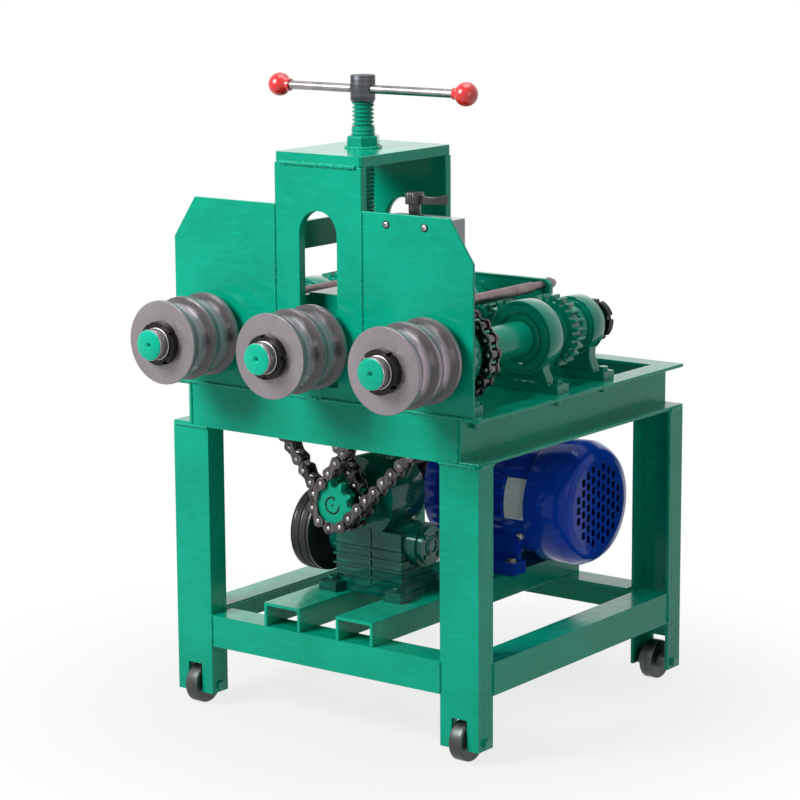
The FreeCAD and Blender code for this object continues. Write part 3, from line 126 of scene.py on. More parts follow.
# ---- materials
class Mat:
    """Node-building helper for one procedural material."""

    def __init__(self, name):
        self.m = bpy.data.materials.new(name)
        self.m.use_nodes = True
        self.t = self.m.node_tree
        self.t.nodes.clear()
        self.out = self.n("ShaderNodeOutputMaterial")
        self.b = self.n("ShaderNodeBsdfPrincipled")
        self.l(self.b.outputs[0], self.out.inputs[0])
        self.co = self.n("ShaderNodeTexCoord").outputs["Object"]

    def n(self, kind, **props):
        x = self.t.nodes.new(kind)
        for k, v in props.items():
            setattr(x, k, v)
        return x

    def l(self, a, b):
        self.t.links.new(a, b)

    def set(self, **kw):
        names = dict(metal="Metallic", coat="Coat Weight", coat_rough="Coat Roughness", coat_ior="Coat IOR",
                     spec="Specular IOR Level", tint="Specular Tint")
        for k, v in kw.items():
            self.b.inputs[names[k]].default_value = v

    def noise(self, scale, detail=3.0, rough=0.55, stretch=None, co=None):
        src = co or self.co
        if stretch:
            mp = self.n("ShaderNodeMapping")
            mp.inputs["Scale"].default_value = stretch
            self.l(src, mp.inputs["Vector"])
            src = mp.outputs[0]
        x = self.n("ShaderNodeTexNoise")
        x.inputs["Scale"].default_value = scale
        x.inputs["Detail"].default_value = detail
        x.inputs["Roughness"].default_value = rough
        self.l(src, x.inputs["Vector"])
        return x.outputs[0]

    def ramp(self, fac, stops):
        """Grey ramp: stops are (position, value)."""
        r = self.n("ShaderNodeValToRGB")
        e = r.color_ramp.elements
        while len(e) < len(stops):
            e.new(0.5)
        for i, (p, v) in enumerate(stops):
            e[i].position = p
            e[i].color = (v, v, v, 1)
        self.l(fac, r.inputs[0])
        return r.outputs[0]

    def span(self, fac, a, b, c, d):
        r = self.n("ShaderNodeMapRange")
        for k, v in zip(("From Min", "From Max", "To Min", "To Max"), (a, b, c, d)):
            r.inputs[k].default_value = v
        self.l(fac, r.inputs[0])
        return r.outputs[0]

    def mix(self, fac, a, b):
        x = self.n("ShaderNodeMix", data_type="RGBA")
        for sock, v in ((x.inputs[0], fac), (x.inputs[6], a), (x.inputs[7], b)):
            if isinstance(v, tuple):
                sock.default_value = (*v, 1)
            else:
                self.l(v, sock)
        return x.outputs[2]

    def math(self, op, a, b=0.0, c=0.0):
        x = self.n("ShaderNodeMath", operation=op)
        for sock, v in zip(x.inputs, (a, b, c)):
            if isinstance(v, (int, float)):
                sock.default_value = v
            else:
                self.l(v, sock)
        return x.outputs[0]

    def bump(self, h, strength, dist, normal=None):
        x = self.n("ShaderNodeBump")
        x.inputs["Strength"].default_value = strength
        x.inputs["Distance"].default_value = dist
        self.l(h, x.inputs["Height"])
        if normal is not None:
            self.l(normal, x.inputs["Normal"])
        return x.outputs[0]

    def xyz(self):
        sep = self.n("ShaderNodeSeparateXYZ")
        self.l(self.co, sep.inputs[0])
        return sep.outputs

    def rings(self, scale):
        """Noise along the radius from the nearest shaft axis: turning marks."""
        at = self.xyz()
        x = self.math("WRAP", at[0], PITCH / 2, -PITCH / 2)
        z = self.math("SUBTRACT", at[2], ZS)
        r = self.math("SQRT", self.math("ADD", self.math("MULTIPLY", x, x), self.math("MULTIPLY", z, z)))
        v = self.n("ShaderNodeCombineXYZ")
        self.l(r, v.inputs[0])
        return self.noise(scale, 2.0, 0.6, co=v.outputs[0])

    def groove_parts(self):
        """Shares of the rollers' groove beds, which get a painted highlight, and of the grooves' flanks,
        which get painted shade.
        """
        half = ROLL_LENGTH / 2 - ROLL_MID
        y = self.math("WRAP", self.math("SUBTRACT", self.xyz()[1], ROLL_Y + ROLL_MID), half, -half)
        share = self.span(self.math("ABSOLUTE", y), 0, half, 0, 1)
        beds = self.ramp(share, [(0.05, 1), (0.33, 0)])
        flanks = self.ramp(share, [(0.33, 0), (0.52, 1), (0.83, 0.9), (0.86, 0)])
        return beds, flanks

    def color(self, v):
        self.l(v, self.b.inputs["Base Color"])

    def rough(self, v):
        self.l(v, self.b.inputs["Roughness"])

    def normal(self, v):
        self.l(v, self.b.inputs["Normal"])


def times(colour, k):
    return tuple(x * k for x in colour)


def enamel(name, base, dark, light, rough=0.26, wear=0.18, grime=(0.006, 0.020, 0.016),
           tint=(0.05, 0.9, 0.75), coat_rough=0.13, coat_ior=1.17, spec=0.18, grain=9.0):
    """Brushed-on machine enamel: uneven film, brush marks, grime and scuffs."""
    m = Mat(name)
    film = m.noise(5.0, 5.0, 0.62)
    c = m.mix(m.span(film, 0.38, 0.66, 0, 1), dark, base)
    brush = m.noise(1.0, 4.0, 0.6, stretch=(26.0, 26.0, 150.0))
    c = m.mix(m.span(brush, 0.50, 0.72, 0, 0.40), c, light)
    dirt = m.span(m.noise(grain, 9.0, 0.74), 0.60, 0.80, 0, wear)
    c = m.mix(dirt, c, grime)
    specks = m.span(m.noise(330.0, 2.0, 0.5), 0.71, 0.78, 0, 0.45)
    c = m.mix(specks, c, grime)
    m.color(c)
    m.rough(m.span(m.noise(40.0, 5.0), 0.3, 0.75, rough - 0.07, rough + 0.16))
    m.set(spec=spec, tint=(*tint, 1), coat=1.0, coat_rough=coat_rough, coat_ior=coat_ior)
    n1 = m.bump(brush, 0.10, 0.0009)
    n2 = m.bump(m.noise(26.0, 3.0, 0.6), 0.12, 0.006, n1)
    m.normal(m.bump(m.noise(480.0, 2.0, 0.5), 0.12, 0.0005, n2))
    return m.m


def bare(name, base, dark, rough=0.34, axis=1, ring=900.0, rust=0.0, metal=1.0, faces=False, grooves=0.0):
    """Turned or drawn bare steel: fine tool rings across the axis, stains; with grooves, a painted
    highlight on the groove beds and painted shade on their flanks.
    """
    m = Mat(name)
    stretch = [4.0, 4.0, 4.0]
    stretch[axis] = ring
    fine = m.noise(1.0, 2.0, 0.6, stretch=tuple(stretch))
    if faces:
        fine = m.math("MULTIPLY", m.math("ADD", fine, m.rings(1500.0)), 0.5)
    c = m.mix(m.span(fine, 0.3, 0.7, 0, 1), dark, base)
    stain = m.noise(28.0, 6.0, 0.7)
    c = m.mix(m.span(stain, 0.5, 0.75, 0, 0.55), c, times(base, 0.55))
    if rust:
        c = m.mix(m.span(m.noise(55.0, 8.0, 0.75), 0.58, 0.72, 0, rust), c, (0.16, 0.07, 0.035))
    if grooves:
        beds, flanks = m.groove_parts()
        # Painted highlight: the groove beds are made lighter, partly for the real polish of the beds.
        groove_bed_highlight = m.math("MULTIPLY", beds, m.span(fine, 0.3, 0.7, 0.55, grooves))
        c = m.mix(groove_bed_highlight, c, (base[0] * 1.75, base[1] * 1.50, base[2] * 1.70))
        # Painted shade: the groove flanks next to the rims are made darker.
        c = m.mix(m.math("MULTIPLY", flanks, grooves), c, times(dark, 0.30))
    m.color(c)
    m.set(metal=metal)
    m.rough(m.span(m.noise(36.0, 5.0, 0.6), 0.3, 0.75, rough - 0.08, rough + 0.18))
    n1 = m.bump(fine, 0.45 if faces else 0.25, 0.0004)
    m.normal(m.bump(m.noise(150.0, 3.0), 0.08, 0.0005, n1))
    return m.m


def plain(name, base, rough, bump=0.12, scale=180.0, vary=0.25, coat=0.0):
    """Plastic, rubber or plain paint with a fine grain."""
    m = Mat(name)
    m.color(m.mix(m.span(m.noise(19.0, 6.0, 0.65), 0.35, 0.7, 0, 1), times(base, 1 - vary), base))
    m.set(coat=coat)
    m.rough(m.span(m.noise(33.0, 4.0), 0.3, 0.7, max(rough - 0.08, 0.03), rough + 0.1))
    m.normal(m.bump(m.noise(scale, 3.0), bump, 0.0006))
    return m.m


GREEN = enamel("green_enamel", (0.0012, 0.385, 0.235), (0.0010, 0.310, 0.185), (0.003, 0.46, 0.305))
CASTING = enamel("green_casting_enamel", (0.0012, 0.340, 0.215), (0.0010, 0.235, 0.150),
                 (0.004, 0.43, 0.290), rough=0.20, wear=0.34, coat_rough=0.07, coat_ior=1.30, spec=0.25)
# The frame's green paint made far darker for the gearbox: partly grime, partly painted shade from the table
# above it.
GREEN_DARK = enamel("gearbox_enamel", (0.0012, 0.140, 0.096), (0.0010, 0.060, 0.044), (0.006, 0.25, 0.175),
                    rough=0.18, wear=0.60, coat_rough=0.06, coat_ior=1.30, spec=0.25)
MOTTLED = enamel("shaft_end_enamel", (0.0015, 0.47, 0.290), (0.0012, 0.36, 0.220), (0.010, 0.55, 0.38),
                 rough=0.30, wear=0.75, grime=(0.012, 0.12, 0.085), spec=0.40, grain=95.0)
THREAD = enamel("thread_enamel", (0.0015, 0.33, 0.215), (0.0012, 0.20, 0.135), (0.010, 0.44, 0.30),
                rough=0.3, wear=0.5)
BLUE = enamel("motor_blue", (0.003, 0.066, 0.620), (0.002, 0.048, 0.450), (0.006, 0.105, 0.74),
              rough=0.22, wear=0.10, grime=(0.003, 0.008, 0.05), tint=(0.10, 0.22, 1.0),
              coat_rough=0.08, coat_ior=1.20, spec=0.14)
GREY = enamel("switch_grey", (0.50, 0.53, 0.54), (0.42, 0.45, 0.46), (0.60, 0.62, 0.63),
              rough=0.3, wear=0.12, grime=(0.12, 0.13, 0.13), tint=(1, 1, 1))

STEEL = bare("turned_steel", (0.330, 0.300, 0.318), (0.205, 0.184, 0.198),
             rough=0.25, ring=1100.0, rust=0.14, metal=0.78, faces=True)
# The rollers' grooves get a painted highlight on their beds and painted shade on their flanks.
ROLLER = bare("roller_steel", (0.335, 0.300, 0.322), (0.200, 0.176, 0.192),
              rough=0.21, ring=1100.0, rust=0.12, metal=0.36, faces=True, grooves=0.92)
NOSE = bare("shaft_steel", (0.560, 0.540, 0.560), (0.340, 0.325, 0.340),
            rough=0.26, ring=700.0, rust=0.08, metal=0.80)
BAR = bare("drawn_steel", (0.40, 0.375, 0.37), (0.20, 0.19, 0.185),
           rough=0.26, axis=0, ring=12.0, rust=0.12)
PIN = bare("pin_steel", (0.290, 0.215, 0.220), (0.180, 0.125, 0.128), rough=0.36, ring=60.0, rust=0.25)
DARK = bare("screw_steel", (0.105, 0.112, 0.125), (0.050, 0.052, 0.058),
            rough=0.36, axis=2, ring=300.0, rust=0.12)
CHAIN = bare("chain_steel", (0.170, 0.155, 0.160), (0.034, 0.030, 0.032),
             rough=0.24, axis=0, ring=110.0, rust=0.25)
PINS = bare("chain_pin_steel", (0.52, 0.50, 0.50), (0.33, 0.32, 0.31), rough=0.26, ring=60.0, rust=0.10)
BOLT = bare("bolt_steel", (0.26, 0.25, 0.24), (0.14, 0.135, 0.13), rough=0.36, axis=2, ring=400.0, rust=0.3)
SCREW = bare("screw_head_steel", (0.62, 0.62, 0.62), (0.42, 0.42, 0.42), rough=0.22, ring=200.0)
NUT = bare("blackened_nut", (0.045, 0.041, 0.041), (0.022, 0.020, 0.020), ring=300.0, rust=0.15)
WHEEL = bare("wheel_iron", (0.105, 0.115, 0.110), (0.050, 0.060, 0.056),
             rough=0.40, axis=0, ring=500.0, rust=0.25)

RED = plain("red_knob", (0.78, 0.010, 0.014), 0.14, bump=0.05, scale=90.0, vary=0.1, coat=0.5)
BLACK_IRON = plain("black_iron", (0.022, 0.021, 0.023), 0.36, bump=0.2, scale=260.0, coat=0.1)
RUBBER = plain("belt_rubber", (0.016, 0.016, 0.016), 0.62, bump=0.35, scale=600.0)
BLACK = plain("black_plastic", (0.014, 0.013, 0.015), 0.28, bump=0.15, scale=300.0, coat=0.25)
PLATE = plain("blank_plate", (0.86, 0.87, 0.90), 0.30, bump=0.08, scale=400.0, vary=0.12)
ORANGE = plain("lifting_eye_paint", (0.72, 0.22, 0.015), 0.35, bump=0.15, scale=200.0, vary=0.2, coat=0.1)

LOOK = {
    "wheel_axles": CASTING, "idler_pins": PIN, "chain_right": CHAIN, "chain_left": CHAIN,
    "gearbox_case": GREEN_DARK, "v_belts": RUBBER, "motor_body": BLUE, "fan_cover": BLUE,
    "switch_box": GREY, "fasteners": BOLT, "roller_left": ROLLER, "roller_right": ROLLER,
    "roller_centre": ROLLER, "swivel_bush": STEEL, "shaft_centre": STEEL, "worm_pulley": BLACK_IRON,
    "motor_shaft": BLACK_IRON, "motor_fan": BLACK, "press_screw": DARK, "tommy_bar": BAR,
    "ball_knobs": RED, "switch_lever": BLACK,
}
CAST = ("gear_", "idler_l", "idler_r", "ring_b", "pillow", "front_b", "sprocket")
for node_name in nodes:
    if node_name.startswith("wheel_") and node_name != "wheel_axles":
        LOOK[node_name] = WHEEL
    if node_name.startswith(CAST):
        LOOK[node_name] = CASTING
SHARP = ("v_belts", "motor_fan", "chain_right", "chain_left")
for node_name, ob in nodes.items():
    ob.data.materials.clear()
    ob.data.materials.append(LOOK.get(node_name, GREEN))
    if node_name in SHARP:
        continue
    weld = ob.modifiers.new("weld", "WELD")
    weld.merge_threshold = 0.00001
    bev = ob.modifiers.new("bevel", "BEVEL")
    bev.width = 0.0012
    bev.segments = 2
    bev.limit_method = "ANGLE"
    bev.angle_limit = math.radians(38)
    bev.use_clamp_overlap = True
    bev.harden_normals = False


# ---- mesh helpers
def polar(r, angle):
    """Point of a plane at radius r and an angle in degrees."""
    t = math.radians(angle)
    return r * math.cos(t), r * math.sin(t)


def middle(lo, hi):
    return tuple((a + b) / 2 for a, b in zip(lo, hi))


def mesh_object(name, bm, mat, body="stand", smooth=True, bevel=0.0, angle=40.0):
    me = bpy.data.meshes.new(name)
    bmesh.ops.recalc_face_normals(bm, faces=bm.faces)
    bm.to_mesh(me)
    bm.free()
    ob = bpy.data.objects.new(name, me)
    scene.collection.objects.link(ob)
    me.materials.append(mat)
    if bevel:
        b = ob.modifiers.new("bevel", "BEVEL")
        b.width, b.segments, b.limit_method, b.angle_limit = bevel, 2, "ANGLE", math.radians(30)
    if smooth:
        for p in me.polygons:
            p.use_smooth = True
        me.set_sharp_from_angle(angle=math.radians(angle))
    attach(ob, body)
    return ob


def skin(bm, rings, ends=True):
    """Faces between neighbouring rings of vertices, with or without flat ends."""
    for a, b in zip(rings, rings[1:]):
        for k in range(len(a)):
            n = (k + 1) % len(a)
            bm.faces.new((a[k], a[n], b[n], b[k]))
    if ends:
        bm.faces.new(rings[0][::-1])
        bm.faces.new(rings[-1])


def tube(bm, pts, radii, segs):
    """Adds a tube of varying radius along points."""
    rings = []
    last = len(pts) - 1
    for i, (p, r) in enumerate(zip(pts, radii)):
        way = pts[min(i + 1, last)] - pts[max(i - 1, 0)]
        t = way.normalized() if way.length > 0 else Vector((0, 0, 1))
        ref = Vector((0, 0, 1)) if abs(t.z) < 0.9 else Vector((1, 0, 0))
        u = t.cross(ref).normalized()
        v = t.cross(u)
        turns = [k * math.tau / segs for k in range(segs)]
        rings.append([bm.verts.new(p + (u * math.cos(a) + v * math.sin(a)) * r) for a in turns])
    skin(bm, rings)


def weld_bead(name, pts, r, seed):
    """A hand-laid weld bead: a lumpy rippled rope along the seam."""
    rnd = random.Random(seed)
    bm = bmesh.new()
    out, rad = [], []
    for a, b in zip(pts, pts[1:]):
        a, b = Vector(a), Vector(b)
        n = max(4, int((b - a).length / 0.0022))
        for i in range(n + 1):
            out.append(a.lerp(b, i / n) + Vector([rnd.uniform(-1, 1) * 0.0004 for _ in range(3)]))
            ripple = 0.82 + 0.18 * abs(math.sin(i * 0.9))
            rad.append(r * ripple * rnd.uniform(0.88, 1.14))
    tube(bm, out, rad, 8)
    mesh_object(name, bm, GREEN, angle=60)


def on_axis(axis, r, t, h):
    """Point at radius r, angle t and distance h along a world axis."""
    c, s = r * math.cos(t), r * math.sin(t)
    return Vector({"x": (h, c, s), "y": (c, h, s), "z": (c, s, h)}[axis])


def lathe_into(bm, profile, at, axis, segs=72, closed=False):
    """Adds a turned solid: profile is (radius, distance along the axis)."""
    at = Vector(at)
    rings = []
    for r, h in profile:
        if r < 1e-6:
            rings.append([bm.verts.new(at + on_axis(axis, 0, 0, h))])
        else:
            rings.append([bm.verts.new(at + on_axis(axis, r, k * math.tau / segs, h)) for k in range(segs)])
    pairs = list(zip(rings, rings[1:]))
    if closed:
        pairs.append((rings[-1], rings[0]))
    for a, b in pairs:
        for k in range(segs):
            n = (k + 1) % segs
            quad = []
            for v in (a[k % len(a)], a[n % len(a)], b[n % len(b)], b[k % len(b)]):
                if v not in quad:
                    quad.append(v)
            if len(quad) > 2:
                bm.faces.new(quad)


def lathe(name, profile, at, axis, mat, body="stand", segs=72, closed=False, angle=32.0):
    bm = bmesh.new()
    lathe_into(bm, profile, at, axis, segs, closed)
    return mesh_object(name, bm, mat, body, angle=angle)


def arc(cr, ch, r, a0, a1, n):
    """Arc points (radius, height) about (cr, ch) from angle a0 to a1."""
    turns = [polar(r, a0 + (a1 - a0) * i / n) for i in range(n + 1)]
    return [(cr + a, ch + b) for a, b in turns]


def prism_into(bm, outline, at, u, v, w, depth):
    """Adds an outline in the u-v plane, extruded by depth along w."""
    at, u, v, w = Vector(at), Vector(u), Vector(v), Vector(w)
    lower = [bm.verts.new(at + u * a + v * b) for a, b in outline]
    upper = [bm.verts.new(at + u * a + v * b + w * depth) for a, b in outline]
    n = len(outline)
    bm.faces.new(lower[::-1])
    bm.faces.new(upper)
    for i in range(n):
        bm.faces.new((lower[i], lower[(i + 1) % n], upper[(i + 1) % n], upper[i]))


def box_into(bm, centre, size):
    x, y, z = (s / 2 for s in size)
    outline = [(-x, -y), (x, -y), (x, y), (-x, y)]
    prism_into(bm, outline, Vector(centre) - Vector((0, 0, z)), (1, 0, 0), (0, 1, 0), (0, 0, 1), 2 * z)


def hex_bolt_into(bm, at, axis, r, h, washer=0.0, up=1):
    """A chamfered hexagon head on a round washer, standing on the face."""
    base = 0.0
    if washer:
        base = up * WASHER_H
        lathe_into(bm, [(0, 0), (washer, 0), (washer, base), (0, base)], at, axis, 24)
    turns = [math.radians(60 * k) for k in range(6)]
    rings = []
    for scale, dh in ((1.0, 0.0), (1.0, h * 0.78), (0.86, h)):
        corners = [on_axis(axis, r * scale, t, base + up * dh) for t in turns]
        rings.append([bm.verts.new(Vector(at) + c) for c in corners])
    skin(bm, rings)


def foot_bolt_into(bm, x, y, z, washer=WASHER_R):
    hex_bolt_into(bm, (x, y, z), "z", HEAD_R, HEAD_H, washer)


# ---- press screw
def press_screw():
    """Cut thread and turned head of the screw, and the bar through the head."""
    lo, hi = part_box("press_screw")
    x, y, _ = middle(lo, hi)
    top, shoulder = hi.z, 1.092
    pitch, r_tip, r_root, segs = 0.007, 0.019, 0.0152, 36
    start = lo.z + 0.004
    turns = int((shoulder + 0.004 - start) / pitch)
    form = ((r_root, 0.02), (r_root, 0.30), (r_tip, 0.46), (r_tip, 0.86))
    bm = bmesh.new()
    rows = []
    for i in range(turns * segs + 1):
        t = i * math.tau / segs
        z = start + pitch * i / segs
        c, s = math.cos(t), math.sin(t)
        rows.append([bm.verts.new((x + r * c, y + r * s, z + pitch * f)) for r, f in form])
    for i in range(len(rows) - 1):
        a, b = rows[i], rows[i + 1]
        for j in range(3):
            bm.faces.new((a[j], b[j], b[j + 1], a[j + 1]))
        if i + segs + 1 < len(rows):
            c, d = rows[i + segs], rows[i + segs + 1]
            bm.faces.new((a[3], b[3], d[0], c[0]))
    # a plain core closes the helical surface at its ends
    core, low, high = r_root - 0.0003, start - 0.003, shoulder + 0.003
    lathe_into(bm, [(0, low), (core, low), (core, high), (0, high)], (x, y, 0), "z", segs)
    thread = mesh_object("press_screw_thread", bm, THREAD, "screw", angle=24)
    r = 0.0215
    profile = [(0, shoulder - 0.001), (r - 0.0035, shoulder - 0.001), (r - 0.0008, shoulder + 0.004),
               (r, shoulder + 0.006), (r, top - 0.0022), (r - 0.0006, top - 0.0008), (r - 0.002, top),
               (0.004, top), (0.0, top - 0.002)]
    head = lathe("press_screw_head", profile, (x, y, 0), "z", DARK, "screw", 64)
    lo_b, hi_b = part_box("tommy_bar")
    z_b = (lo_b.z + hi_b.z) / 2
    rim = [(0.0076, -0.002), (0.0076, 0.0004), (0.0092, 0.0008), (0.0098, 0.0), (0.0096, -0.002)]
    for side, tag in SIDES:
        lathe("screw_hole_rim_" + tag, rim, (x + side * 0.0198, y, z_b), "x", DARK, "screw", 40, True)
    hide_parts("press_screw")
    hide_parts("press_screw")
    bm = bmesh.new()
    r, left, right, ease = (hi_b.z - lo_b.z) / 2, lo_b.x, hi_b.x, 0.001
    profile = [(0, left), (r - ease, left), (r, left + ease), (r, right - ease), (r - ease, right),
               (0, right)]
    lathe_into(bm, profile, (0, (lo_b.y + hi_b.y) / 2, z_b), "x", 48)
    bar = mesh_object("tommy_bar_polished", bm, BAR, "bar")
    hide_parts("tommy_bar")


def ball_knobs():
    """Ball knobs with a short collar towards the screw."""
    lo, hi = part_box("ball_knobs")
    r = (hi.z - lo.z) / 2
    _, y, z = middle(lo, hi)
    for (side, tag), end in zip(SIDES, (lo.x + r, hi.x - r)):
        prof = [(0.0, r)]
        prof += [polar(r, a) for a in range(82, -54, -8)]
        prof += [(0.0112, -r * 0.86), (0.0106, -r * 0.94), (0.0104, -r * 1.18), (0.0098, -r * 1.2),
                 (0.0078, -r * 1.2), (0.0074, -r * 1.0), (0.0, -r * 1.0)]
        prof = [(a, side * b) for a, b in prof]
        knob = lathe("ball_knob_" + tag, prof, (end, y, z), "x", RED, "bar", 56, angle=40)
        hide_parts("ball_knobs")


# ---- rollers and shafts
def rollers():
    """Rollers with narrow rims, two wide tube grooves and eased edges."""
    half = math.acos(1 - GROOVE_DEPTH / GROOVE_R)
    edge = GROOVE_R * math.sin(half)
    length, ease = ROLL_LENGTH, 0.0016
    for side, body, x in BODIES:
        lo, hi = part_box("roller_" + side)
        r = (hi.z - lo.z) / 2
        prof = [(SEAT_R + 0.0004, 0.0008), (SEAT_R + 0.0012, 0.0), (r - 0.0030, 0.0)]
        prof += arc(r - ease, ease, ease, -90, 0, 4)[1:]
        for c in (ROLL_MID, length - ROLL_MID):
            prof += [(r, c - edge - 0.0010), (r - 0.0003, c - edge - 0.0003)]
            for angle in (-56, -52, -46, -39, -31, -22, -12, 0, 12, 22, 31, 39, 46, 52, 56):
                a = math.radians(angle)
                prof.append((r - GROOVE_DEPTH + GROOVE_R * (1 - math.cos(a)), c + GROOVE_R * math.sin(a)))
            prof += [(r - 0.0003, c + edge + 0.0003), (r, c + edge + 0.0010)]
        prof += arc(r - ease, length - ease, ease, 0, 90, 4)
        prof += [(SEAT_R + 0.0012, length), (SEAT_R + 0.0004, length - 0.0008)]
        ob = lathe("bending_roller_" + side, prof, (x, ROLL_Y, ZS), "y", ROLLER, body, 112, True, 28)
        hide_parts("roller_" + side)


def slotted_nut(name, x, y0, body, slots, turn):
    """Thin round nut with square key slots round its rim."""
    bm = bmesh.new()
    r_in, slot_r = SEAT_R + 0.0002, NUT_R - 0.0045
    half = math.degrees(0.0042 / NUT_R)
    ring = []
    for k in range(slots):
        c = turn + k * 360.0 / slots
        ring += [(NUT_R, c - half), (slot_r, c - half), (slot_r, c + half), (NUT_R, c + half)]
        land = 360.0 / slots - 2 * half
        ring += [(NUT_R, c + half + land * j / 10) for j in range(1, 10)]

    def loop(points, h):
        return [bm.verts.new((x + a, y0 + h, ZS + b)) for a, b in points]

    rim = [loop([polar(r - inset, a) for r, a in ring], h)
           for h, inset in ((0, 0.001), (0.001, 0), (NUT_W - 0.001, 0), (NUT_W, 0.001))]
    bore = [loop([polar(r_in, a) for _, a in ring], h) for h in (0, NUT_W)]
    skin(bm, [bore[0]] + rim + [bore[1], bore[0]], False)
    return mesh_object(name, bm, NUT, body, angle=30)


def shafts():
    """Shafts with a bare nose, a painted end face, ring nuts and sleeves."""
    nut_turn = {"left": 30, "right": 55, "centre": 4}
    r = NOSE_R
    face_profile = [(0, 0.007), (0.0022, 0.006), (0.0026, 0.003), (0.0050, 0.0003), (0.0054, 0.0),
                    (r - 0.0022, 0.0), (r - 0.0012, 0.0005), (r - 0.0006, 0.0014), (r - 0.0006, 0.0024),
                    (0, 0.0077)]
    for side, body, x in BODIES:
        node = "shaft_" + side
        lo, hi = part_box(node)
        rlo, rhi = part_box("roller_" + side)
        nose, end = lo.y, hi.y - lo.y
        front, step = rlo.y - NUT_W - nose, rhi.y - nose
        face = lathe("shaft_face_" + side, face_profile, (x, nose, ZS), "y", MOTTLED, body, 56)
        prof = [(0, 0.0082), (r - 0.003, 0.0022), (r - 0.0008, 0.0018), (r, 0.0030), (r, front - 0.0004),
                (SEAT_R, front), (SEAT_R, step), (0, step)]
        stub = lathe("shaft_nose_" + side, prof, (x, nose, ZS), "y", NOSE, body, 64)
        parts = [face, stub, slotted_nut("ring_nut_" + side, x, rlo.y - NUT_W, body, 4, nut_turn[side])]
        if side == "centre":
            neck = end - BALL_R - math.sqrt(BALL_R ** 2 - FULL_R ** 2)
            prof = [(0, step), (FULL_R, step), (FULL_R, neck)]
            for angle in range(-28, 89, 9):
                a = math.radians(angle)
                prof.append((BALL_R * math.cos(a), end - BALL_R + BALL_R * math.sin(a)))
            prof.append((0, end))
            parts.append(lathe("shaft_bar_centre", prof, (x, nose, ZS), "y", STEEL, body, 64))
        else:
            prof = [(0, step), (FULL_R, step), (FULL_R, end - NUT_W), (SEAT_R, end - NUT_W),
                    (SEAT_R, end - 0.0012), (SEAT_R - 0.0012, end), (0, end)]
            parts.append(lathe("shaft_bar_" + side, prof, (x, nose, ZS), "y", GREEN, body, 64))
            start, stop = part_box("sprocket_" + side)[1].y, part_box("ring_bearings")[0].y - 0.0004
            r0, r1, n = FULL_R + 0.0001, FULL_R + 0.0014, stop - start
            prof = [(r0, 0), (r1 - 0.0008, 0), (r1, 0.001), (r1, n - 0.001), (r1 - 0.0008, n), (r0, n)]
            parts.append(lathe("shaft_sleeve_" + side, prof, (x, start, ZS), "y", GREEN, body, 56, True))
            parts.append(slotted_nut("rear_nut_" + side, x, hi.y - NUT_W, body, 6, 12))
        for ob in parts:
            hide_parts(node)


# ---- roller chains
def chain_path(x):
    """Roller centres of the closed chain round both sprockets."""
    lean_to = math.degrees(math.atan2(ZS - OUT_Z, x - OUT_X))
    dist = math.hypot(x - OUT_X, ZS - OUT_Z)
    lean = math.degrees(math.asin((BIG_R - SMALL_R) / dist))
    k1 = round((90 + lean) / (360 / BIG_TEETH))
    k2 = round((90 - lean) / (360 / SMALL_TEETH))

    def round_wheel(cx, cz, r, first, teeth, k_end):
        spots = [polar(r, first + k * 360 / teeth) for k in range(-k_end, k_end + 1)]
        return [(cx + a, cz + b) for a, b in spots]

    def run(p, q):
        n = round(math.hypot(q[0] - p[0], q[1] - p[1]) / CHAIN_PITCH)
        return [(p[0] + (q[0] - p[0]) * i / n, p[1] + (q[1] - p[1]) * i / n) for i in range(1, n)]

    big = round_wheel(x, ZS, BIG_R, lean_to, BIG_TEETH, k1)
    low = round_wheel(OUT_X, OUT_Z, SMALL_R, lean_to + 180, SMALL_TEETH, k2)
    return big + run(big[-1], low[0]) + low + run(low[-1], big[0])


def plate_outline(length, r, waist):
    """Figure-of-eight side plate of a roller chain link."""
    pts = []
    for centre, turn, way in ((0, 100, 1), (length, -80, -1)):
        for k in range(11):
            a, b = polar(r, turn + 160 * k / 10)
            pts.append((centre + a, b))
        pts.append((length / 2 - 0.002 * way, -waist * way))
        pts.append((length / 2 + 0.002 * way, -waist * way))
    return pts


def chain(side, x):
    """Side plates, rollers and riveted pins of one closed chain."""
    lo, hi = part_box("chain_" + side)
    y = (lo.y + hi.y) / 2
    bm, pins = bmesh.new(), bmesh.new()
    pts = chain_path(x)
    r, roller_r, inside = 0.0113, 0.0078, CHAIN_HALF - 0.0002
    reach = CHAIN_HALF + 2 * LINK_WALL + 0.0018
    pin_half = [(0.0037, reach - 0.0009), (0.0024, reach), (0, reach + 0.0003)]
    pin_profile = [(a, -b) for a, b in reversed(pin_half)] + pin_half
    for i, (px, pz) in enumerate(pts):
        qx, qz = pts[(i + 1) % len(pts)]
        length = math.hypot(qx - px, qz - pz)
        u = Vector((qx - px, 0, qz - pz)) / length
        v = Vector((-u.z, 0, u.x))
        off = CHAIN_HALF if i % 2 == 0 else CHAIN_HALF + LINK_WALL + 0.0001
        outline = plate_outline(length, r, r * 0.60)
        for s in (-1, 1):
            prism_into(bm, outline, (px, y + s * off, pz), u, v, (0, s, 0), LINK_WALL - 0.0001)
        lathe_into(pins, pin_profile, (px, y, pz), "y", 14)
        lathe_into(bm, [(roller_r, -inside), (roller_r, inside)], (px, y, pz), "y", 16)
    links = mesh_object("roller_chain_" + side, bm, CHAIN, bevel=0.0005, angle=35)
    pin = mesh_object("chain_pins_" + side, pins, PINS)
    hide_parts("chain_" + side)
    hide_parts("chain_" + side)


def chains():
    """The chain of each driven shaft."""
    chain("right", PITCH)
    chain("left", -PITCH)


